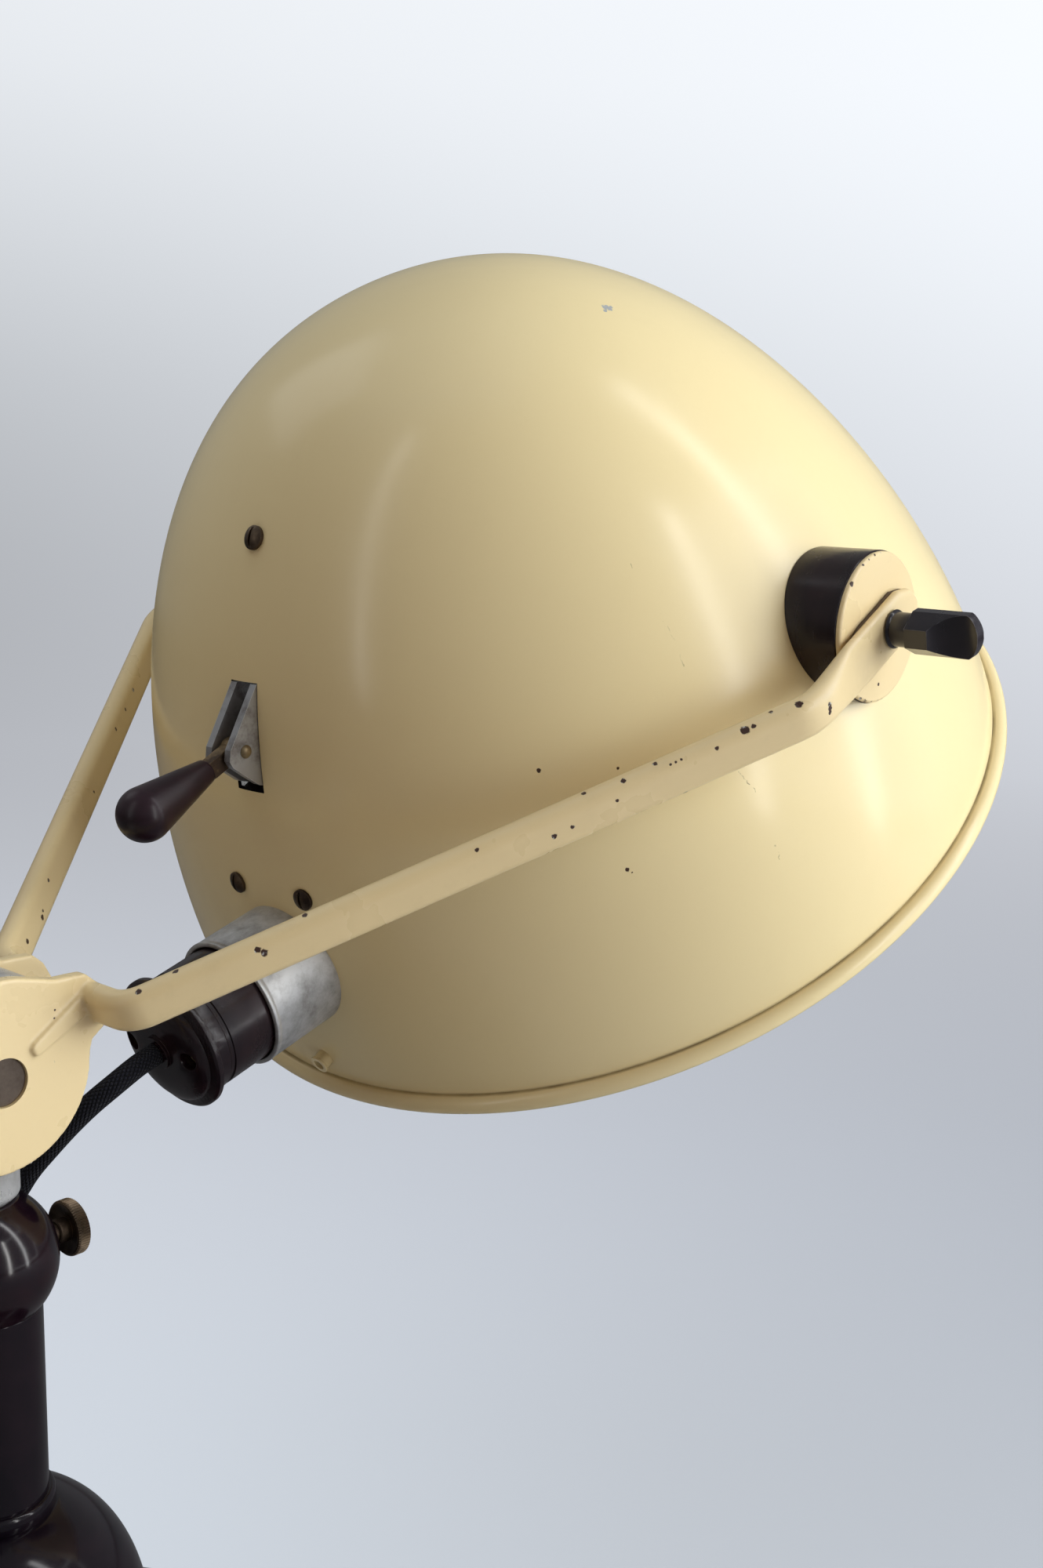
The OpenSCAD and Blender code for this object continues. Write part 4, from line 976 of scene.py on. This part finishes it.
def makeKnob(form, side, turn, name, node, body):
    bm = bmesh.new()
    section = [(-form["depth"], -form["flat"]), (-form["depth"], form["flat"]),
               (-form["web"], form["tall"]), (form["web"], form["tall"]),
               (form["depth"], form["flat"]), (form["depth"], -form["flat"]),
               (form["web"], -form["tall"]), (-form["web"], -form["tall"])]
    # the tip is cut round, so each ring reaches as far as its height allows
    center = form["tip"] - form["round"]
    levels = [form["block"], form["block"] + 4, center]
    levels += [center + form["round"] * math.sin(math.radians(a)) for a in range(6, 90, 7)]
    before = None
    for level in levels:
        reach = form["tall"]
        if level > center:
            reach = min(reach, math.sqrt(form["round"] ** 2 - (level - center) ** 2))
        ring = [bm.verts.new((x * mm, max(-reach, min(reach, y)) * mm, level * mm))
                for x, y in section]
        if before:
            for a, b, c, d in zip(before, before[1:] + before[:1], ring[1:] + ring[:1], ring):
                bm.faces.new((a, b, c, d))
        else:
            bm.faces.new(ring[::-1])
        before = ring
    bm.faces.new(before)
    where = sideFrame(side) @ turned(turn, "Z")
    knob = settle(name, bm, where, None, [node], "knobBakelite", 30)
    cutter = bmesh.new()
    for x in (-1, 1):
        middle = x * (form["web"] + form["scoop"])
        cylinder(cutter, form["scoop"], 30,
                 where @ shifted(middle, 0, form["scoopAt"]) @ turned(90, "X"), 128)
    cutWith(knob, cutter)
    bore = bmesh.new()
    low, high = form["boreFoot"], form["boreEnd"]
    cylinder(bore, form["bore"], high - low, where @ shifted(0, 0, (low + high) / 2), 48)
    cutWith(knob, bore)
    smoothShade(knob.data, 30)
    roundEdges(knob, 0.28, 3, 40)
    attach(knob, body)
    shank = [(form["bore"], form["foot"]), (form["lip"], form["foot"]),
             (form["lip"] + 0.15, form["foot"] + 0.35), (form["lip"], form["foot"] + 0.7),
             (form["shank"], form["foot"] + 1.0), (form["shank"], form["block"] + 0.2),
             (form["bore"], form["block"] + 0.2)]
    settle(name + "Shank", spinProfile(shank, 64, True), where, body, [node], "knobBakelite",
           40)


makeKnob(knobForm, -1, -19.4, "wingKnobRight", "right_knob", "right_wing")
makeKnob(knobForm, 1, 12, "wingKnobLeft", "left_knob", "left_wing")


# lever handle: round bulb on a slim cone, with a mouth round the tang
handleForm = {"length": 30, "bulb": 7.6, "at": (-127, 0, 32.1), "rise": 9.5,
              "mouth": [(0.01, -0.6), (2.7, -0.6), (3.05, -0.5), (3.35, -0.2), (3.5, 0.25), (3.6, 0.8)],
              "cone": (3.88, 20.28)}


def makeHandle(form):
    radius, height = form["mouth"][-1]
    wider, longer = form["cone"]
    profile = form["mouth"] + [(radius + wider * i / 8, height + longer * i / 8) for i in range(1, 8)]
    profile += arcPoints(0, form["length"] - form["bulb"], form["bulb"], form["bulb"], -10, 90, 24)
    profile[-1] = (0.01, form["length"])
    where = headFrame @ shifted(*form["at"]) @ turned(form["rise"] - 90, "Y")
    settle("leverHandle", spinProfile(profile, 72), where, "lever", ["lever_handle"],
           "brownBakelite", 60)


makeHandle(handleForm)


# moulded, cast, turned and sheet-metal parts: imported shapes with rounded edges
# each name has its node, body, finish, slot and edge radius in millimetres
smallParts = {
    "feltPad": ("base_felt", "stand", "greenFelt", "felt", 0.4),
    "bottomPlate": ("base_plate", "stand", "wornSteel", "steel", 0.25),
    "bottomScrews": ("base_screws", "stand", "wornSteel", "steel", 0.2),
    "baseWeight": ("base_weight", "stand", "castGrey", "cast_iron", 0.8),
    "tieRod": ("tie_rod", "stand", "wornSteel", "steel", 0.4),
    "columnTube": ("column", "stand", "blackEnamel", "black_enamel", 0.2),
    "ballBush": ("ball_bush", "stand", "agedBrass", "brass", 0.25),
    "swivelWasher": ("swivel_washer", "stand", "brownFibre", "fibre", 0.12),
    "hingePin": ("hinge_pin", "yoke", "pinBronze", "brass", 0.45),
    "hingeWashers": ("hinge_washers", "yoke", "brownFibre", "fibre", 0.1),
    "bossRight": ("right_boss", "head", "bakelite", "bakelite", 0.45),
    "bossLeft": ("left_boss", "head", "bakelite", "bakelite", 0.45),
    "coverRight": ("right_cover", "head", "yokeEnamel", "yoke_enamel", 0.3),
    "coverLeft": ("left_cover", "head", "yokeEnamel", "yoke_enamel", 0.3),
    "studRight": ("right_stud", "head", "wornSteel", "steel", 0.25),
    "studLeft": ("left_stud", "head", "wornSteel", "steel", 0.25),
    "pivotWashers": ("boss_washers", "head", "brownFibre", "fibre", 0.1),
    "inletInsulator": ("inlet_insulator", "head", "steatite", "steatite", 0.5),
    "inletPins": ("inlet_pins", "head", "agedBrass", "brass", 0.4),
    "collarScrews": ("collar_screws", "head", "brownedScrew", "screw_brass", 0.15),
    "crownScrew": ("top_screw", "head", "brownedScrew", "screw_brass", 0.15),
    "ventEyelet": ("vent_eyelet", "head", "shadeEnamel", "shade_enamel", 0.25),
    "plugBody": ("plug_front", "head", "bakelite", "bakelite", 0.3),
    "plugCap": ("plug_back", "head", "bakelite", "bakelite", 0.3),
    "plugScrews": ("plug_screws", "head", "agedBrass", "screw_brass", 0.15),
    "leverBracket": ("lever_bracket", "head", "wornSteel", "steel", 0.3),
    "leverRivet": ("lever_rivet", "head", "agedBrass", "brass", 0.15),
    "leverBar": ("lever_bar", "lever", "bronze", "bronze", 0.35),
    "burnerBracket": ("burner_bracket", "head", "wornSteel", "steel", 0.25),
    "terminalBlock": ("terminal_block", "head", "steatite", "steatite", 0.6),
    "burnerCradle": ("burner_cradle", "cradle", "wornSteel", "steel", 0.25),
    "cradlePin": ("cradle_pin", "cradle", "agedBrass", "brass", 0.3),
    "burnerTube": ("burner_tube", "cradle", "quartzGlass", "quartz", 0.5),
    "burnerPoles": ("burner_poles", "cradle", "spunAluminium", "aluminium", 0.25),
    "burnerClips": ("burner_clips", "cradle", "wornSteel", "steel", 0.25),
    "mainsPlug": ("mains_plug", "stand", "bakelite", "bakelite", 1.4),
    "mainsPins": ("mains_pins", "stand", "platedPin", "plated_pin", 0.3),
}
small = {}
for name, (node, body, material, slot, width) in smallParts.items():
    small[name] = settle(name, fromCad(node), Matrix.Identity(4), body, [node], material)
    roundEdges(small[name], width)
print("small parts made")


# black ledge at the lever bracket, which closes the foot of the slot: a dark block painted as shade in
# the slot
slotShadeLedgeForm = {"size": (3.9, 10.2, 2.4), "at": (-114.7, 0, 15.4)}


def makeSlotShadeLedge(form):
    bm = bmesh.new()
    bmesh.ops.create_cube(bm, size=mm, matrix=Matrix.Diagonal((*form["size"], 1)))
    # black finish: painted shade at the foot of the slot
    roundEdges(settle("slotShadeLedge", bm, headFrame @ shifted(*form["at"]), "head",
                      ["lever_bracket"], "blackEnamel"), 0.3)


makeSlotShadeLedge(slotShadeLedgeForm)


# black disc in the eyelet's bore as painted shade in the hole, and fibre shims between the end plates
# and the covers
eyeletShadeForm = {"radius": 1.8, "thick": 0.8, "at": (-142.0, 0, -69.8)}
shimForm = {"low": 133.3, "high": 134.3, "hole": 6.8, "pivot": 225,
            "half": [(207, 5.2), (215, 6.9), (232, 7.0), (237, 5.0), (239.6, 1.5)]}


def makeShims(bore, form):
    bm = bmesh.new()
    # black disc in the eyelet's bore: painted shade inside the hole
    cylinder(bm, bore["radius"], bore["thick"],
             headFrame @ shifted(*bore["at"]) @ turned(90, "Y"), 40)
    settle("eyeletShadeDisc", bm, Matrix.Identity(4), "head", ["vent_eyelet"], "blackEnamel",
           40)
    for side, name, node in ((-1, "shimRight", "right_arm"), (1, "shimLeft", "left_arm")):
        bm = bmesh.new()
        plate(bm, [(u, -w) for u, w in form["half"]] + form["half"][::-1], form["low"], form["high"])
        where = yokeFrame @ Matrix.Diagonal((1, side, 1, 1))
        shim = settle(name, bm, where, None, [node], "brownFibre", 30)
        hole = bmesh.new()
        cylinder(hole, form["hole"], 400, where @ shifted(form["pivot"], 0, 0) @ turned(90, "X"), 64)
        cutWith(shim, hole)
        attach(shim, "yoke")


makeShims(eyeletShadeForm, shimForm)


# tape round the coil and the sleeve at the mains plug
tapeForm = {"at": (-100, 150), "turn": 200, "from": 19.6, "to": 50.2, "low": 0.35, "high": 14.7,
            "corner": 4.6, "wide": 8, "thick": 0.9, "ripple": (0.22, 0.21, 0.5)}
sleeveForm = {"length": 23.0, "wide": 5.3, "narrow": 3.45, "groove": 0.45, "rear": 3.2, "mouth": 3.0,
              "stations": 46, "steps": 32}


def makeTape(form):
    low, high = Vector((form["from"], form["low"])), Vector((form["to"], form["high"]))
    r = form["corner"]
    loop = []
    for cx, cz, start in ((high.x - r, high.y - r, 0), (low.x + r, high.y - r, 90),
                          (low.x + r, low.y + r, 180), (high.x - r, low.y + r, 270)):
        loop += arcPoints(cx, cz, r, r, start, start + 90, 8)
    deep, along, across = form["ripple"]
    bm = bmesh.new()
    rows = []
    for i in range(9):
        y = form["wide"] * (i / 8 - 0.5)
        # only the upper side ripples over the turns of the lead
        rows.append([bm.verts.new((x * mm, y * mm, (z - deep * math.sin(along * x + across * y)
                                                    * (z > 10)) * mm)) for x, z in loop])
    for a, b in zip(rows, rows[1:]):
        for k in range(len(loop)):
            n = (k + 1) % len(loop)
            bm.faces.new((a[k], a[n], b[n], b[k]))
    where = shifted(*form["at"], 0) @ turned(form["turn"], "Z")
    tape = settle("coilTape", bm, where, "stand", ["cord_tie"], "clothTape", 60)
    wall = tape.modifiers.new("wall", "SOLIDIFY")
    wall.thickness = form["thick"] * mm
    wall.offset = -1
    return tape


def makeSleeve(points, form):
    # tapered, ribbed sleeve along the last stretch of the lead, from the plug backward
    back = [p / mm for p in points[::-1]]
    stations = []
    for i in range(form["stations"] + 1):
        share = i / form["stations"]
        radius = form["wide"] + (form["narrow"] - form["wide"]) * share
        if 1 < i % 6 < 4 and i < form["stations"] - 6:
            radius -= form["groove"]
        left = form["length"] * share
        for a, b in zip(back, back[1:]):
            step = (b - a).length
            if left <= step:
                stations.append((a + (b - a) * left / step, (b - a).normalized(), radius))
                break
            left -= step
    stations = [(*stations[0][:2], form["rear"])] + stations + [(*stations[-1][:2], form["mouth"])]
    bm = bmesh.new()
    rings = []
    for p, d, radius in stations:
        side = d.cross(Vector((0, 0, 1))).normalized()
        up = side.cross(d)
        turns = [math.tau * k / form["steps"] for k in range(form["steps"])]
        rings.append([bm.verts.new((p + radius * (math.cos(a) * side + math.sin(a) * up)) * mm)
                      for a in turns])
    joinRings(bm, rings)
    return settle("plugSleeve", bm, Matrix.Identity(4), "stand", [], "bakelite", 50)


coilTape = makeTape(tapeForm)
plugSleeve = makeSleeve(lead[2][2], sleeveForm)

# floor, pale surround and studio lights
studio = {
    "floorRadius": 5.0, "floorColor": (0.56, 0.59, 0.64), "floorBounce": (0.52, 0.52, 0.53),
    "floorGrain": 0.97, "floorMirrored": 0.3, "seeThrough": 0.68, "fade": (0.6, 1.8),
    # height of the view line, colour there, and how much lighter it grows to the right
    "levels": [(-0.56, (0.64, 0.69, 0.75), -0.5), (-0.44, (0.61, 0.645, 0.705), -0.75),
               (-0.32, (0.54, 0.565, 0.62), -0.85), (-0.15, (0.515, 0.53, 0.57), 0.85),
               (0.03, (0.66, 0.69, 0.73), 0.7), (0.19, (0.90, 0.935, 0.98), 0.3),
               (0.45, (0.95, 0.97, 1.0), 0.0)],
    "rightward": (0.6524, -0.7579, 0.0), "mirrored": 0.25,
    "ambient": (0.253, 0.187, 0.143), "ambientStrength": 1.0,
    "lights": {
        # name: (azimuth, elevation, distance, width, height, watts, colour, lit surfaces)
        "keyPanel": (-60, 18, 1.7, 1.6, 1.3, 44, (0.93, 1.0, 1.08), "matte"),
        "topPanel": (120, 74, 1.6, 1.4, 1.4, 11, (0.82, 1.02, 1.2), "matte"),
        "backPanel": (92, 14, 1.7, 1.4, 1.2, 3, (0.9, 1.05, 1.0), "matte"),
        "softGlow": (-60, 18, 1.7, 1.7, 1.4, 11, (0.96, 0.98, 1.0), "glossy"),
        "topGlow": (106, 47, 1.7, 0.75, 0.75, 1.3, (0.94, 0.97, 1.0), "glossy"),
        "frontStrip": (-57, 28, 1.65, 0.12, 2.6, 7, (0.98, 0.99, 1.0), "glossy"),
        "sideStrip": (-86, 14, 1.6, 0.09, 1.6, 4.5, (1.0, 0.99, 0.97), "glossy"),
        "leftStrip": (174, 25, 1.7, 0.06, 2.0, 2, (0.97, 0.985, 1.0), "glossy"),
    },
    "aim": (0.12, 0.0, 0.27),
}


def makeFloor(form):
    bm = bmesh.new()
    bmesh.ops.create_circle(bm, cap_ends=True, segments=128, radius=form["floorRadius"])
    mesh = toMesh("floor", bm)
    material, tree, shader = startFinish("floorPaper", {"Roughness": 0.9, "Specular IOR Level": 0.1})
    seen = add(tree, "LightPath").outputs["Is Camera Ray"]
    grain = fit(tree, noise(tree, 3.0, 3.0), 0.3, 0.7)
    paper = mixColor(tree, grain, form["floorColor"],
                     tuple(c * form["floorGrain"] for c in form["floorColor"]))
    mirrored = add(tree, "LightPath").outputs["Is Glossy Ray"]
    bounce = mixColor(tree, mirrored, form["floorBounce"],
                      tuple(c * form["floorMirrored"] for c in form["floorBounce"]))
    drive(shader, "Base Color", mixColor(tree, seen, bounce, paper))
    fade = fit(tree, vectorMath(tree, "LENGTH", place(tree)), *form["fade"], form["seeThrough"], 1.0)
    fade = times(tree, fade, seen)
    clear = add(tree, "BsdfTransparent")
    both = add(tree, "MixShader", {0: fade, 1: shader.outputs[0], 2: clear.outputs[0]})
    drive(tree.nodes["Material Output"], "Surface", both.outputs[0])
    mesh.materials.append(material)
    newObject("floor", mesh)


def makeSurround(form):
    world = bpy.data.worlds.new("surround")
    scene.world = world
    world.use_nodes = True
    tree = world.node_tree
    seen = tree.nodes["Background"]
    coords = add(tree, "TexCoord").outputs["Generated"]
    parts = add(tree, "SeparateXYZ", {0: coords})
    rise = fit(tree, parts.outputs[2], -1.0, 1.0)
    ramp = add(tree, "ValToRGB", {0: rise})
    ramp.color_ramp.interpolation = "B_SPLINE"
    stops = ramp.color_ramp.elements
    while len(stops) < len(form["levels"]):
        stops.new(0.5)
    for stop, (height, color, lean) in zip(stops, form["levels"]):
        stop.position = (height + 1) / 2
        stop.color = (*color, (lean + 1) / 2)
    lean = fit(tree, ramp.outputs[1], 0.0, 1.0, -1.0, 1.0)
    right = vectorMath(tree, "DOT_PRODUCT", coords, form["rightward"])
    right = fit(tree, right, -0.35, 0.35, -0.35, 0.35)
    share = plus(tree, times(tree, right, lean), 1.0)
    tinted = vectorMath(tree, "SCALE", ramp.outputs[0], scale=share)
    drive(seen, "Color", tinted)
    rays = add(tree, "LightPath").outputs
    direct = most(tree, rays["Is Camera Ray"], rays["Is Transmission Ray"])
    level = fit(tree, direct, 0.0, 1.0, form["mirrored"], 1.0)
    drive(seen, "Strength", level)
    ambient = add(tree, "Background", {0: (*form["ambient"], 1), 1: form["ambientStrength"]})
    shown = most(tree, direct, rays["Is Glossy Ray"])
    both = add(tree, "MixShader", {0: shown, 1: ambient.outputs[0], 2: seen.outputs[0]})
    drive(tree.nodes["World Output"], "Surface", both.outputs[0])


def makeLights(form):
    aim = Vector(form["aim"])
    for name, light in form["lights"].items():
        azimuth, elevation, distance, width, height, watts, color, lit = light
        a, e = math.radians(azimuth), math.radians(elevation)
        toward = Vector((math.cos(e) * math.cos(a), math.cos(e) * math.sin(a), math.sin(e)))
        data = bpy.data.lights.new(name, "AREA")
        data.shape = "RECTANGLE"
        data.size = width
        data.size_y = height
        data.energy = watts
        data.color = color
        lamp = newObject(name, data)
        lamp.location = aim + toward * distance
        lamp.rotation_euler = toward.to_track_quat("Z", "Y").to_euler()
        lamp.visible_glossy = lit != "matte"
        lamp.visible_diffuse = lit != "glossy"


makeFloor(studio)
makeSurround(studio)
makeLights(studio)
scene.view_settings.view_transform = "Standard"
print("studio lit")
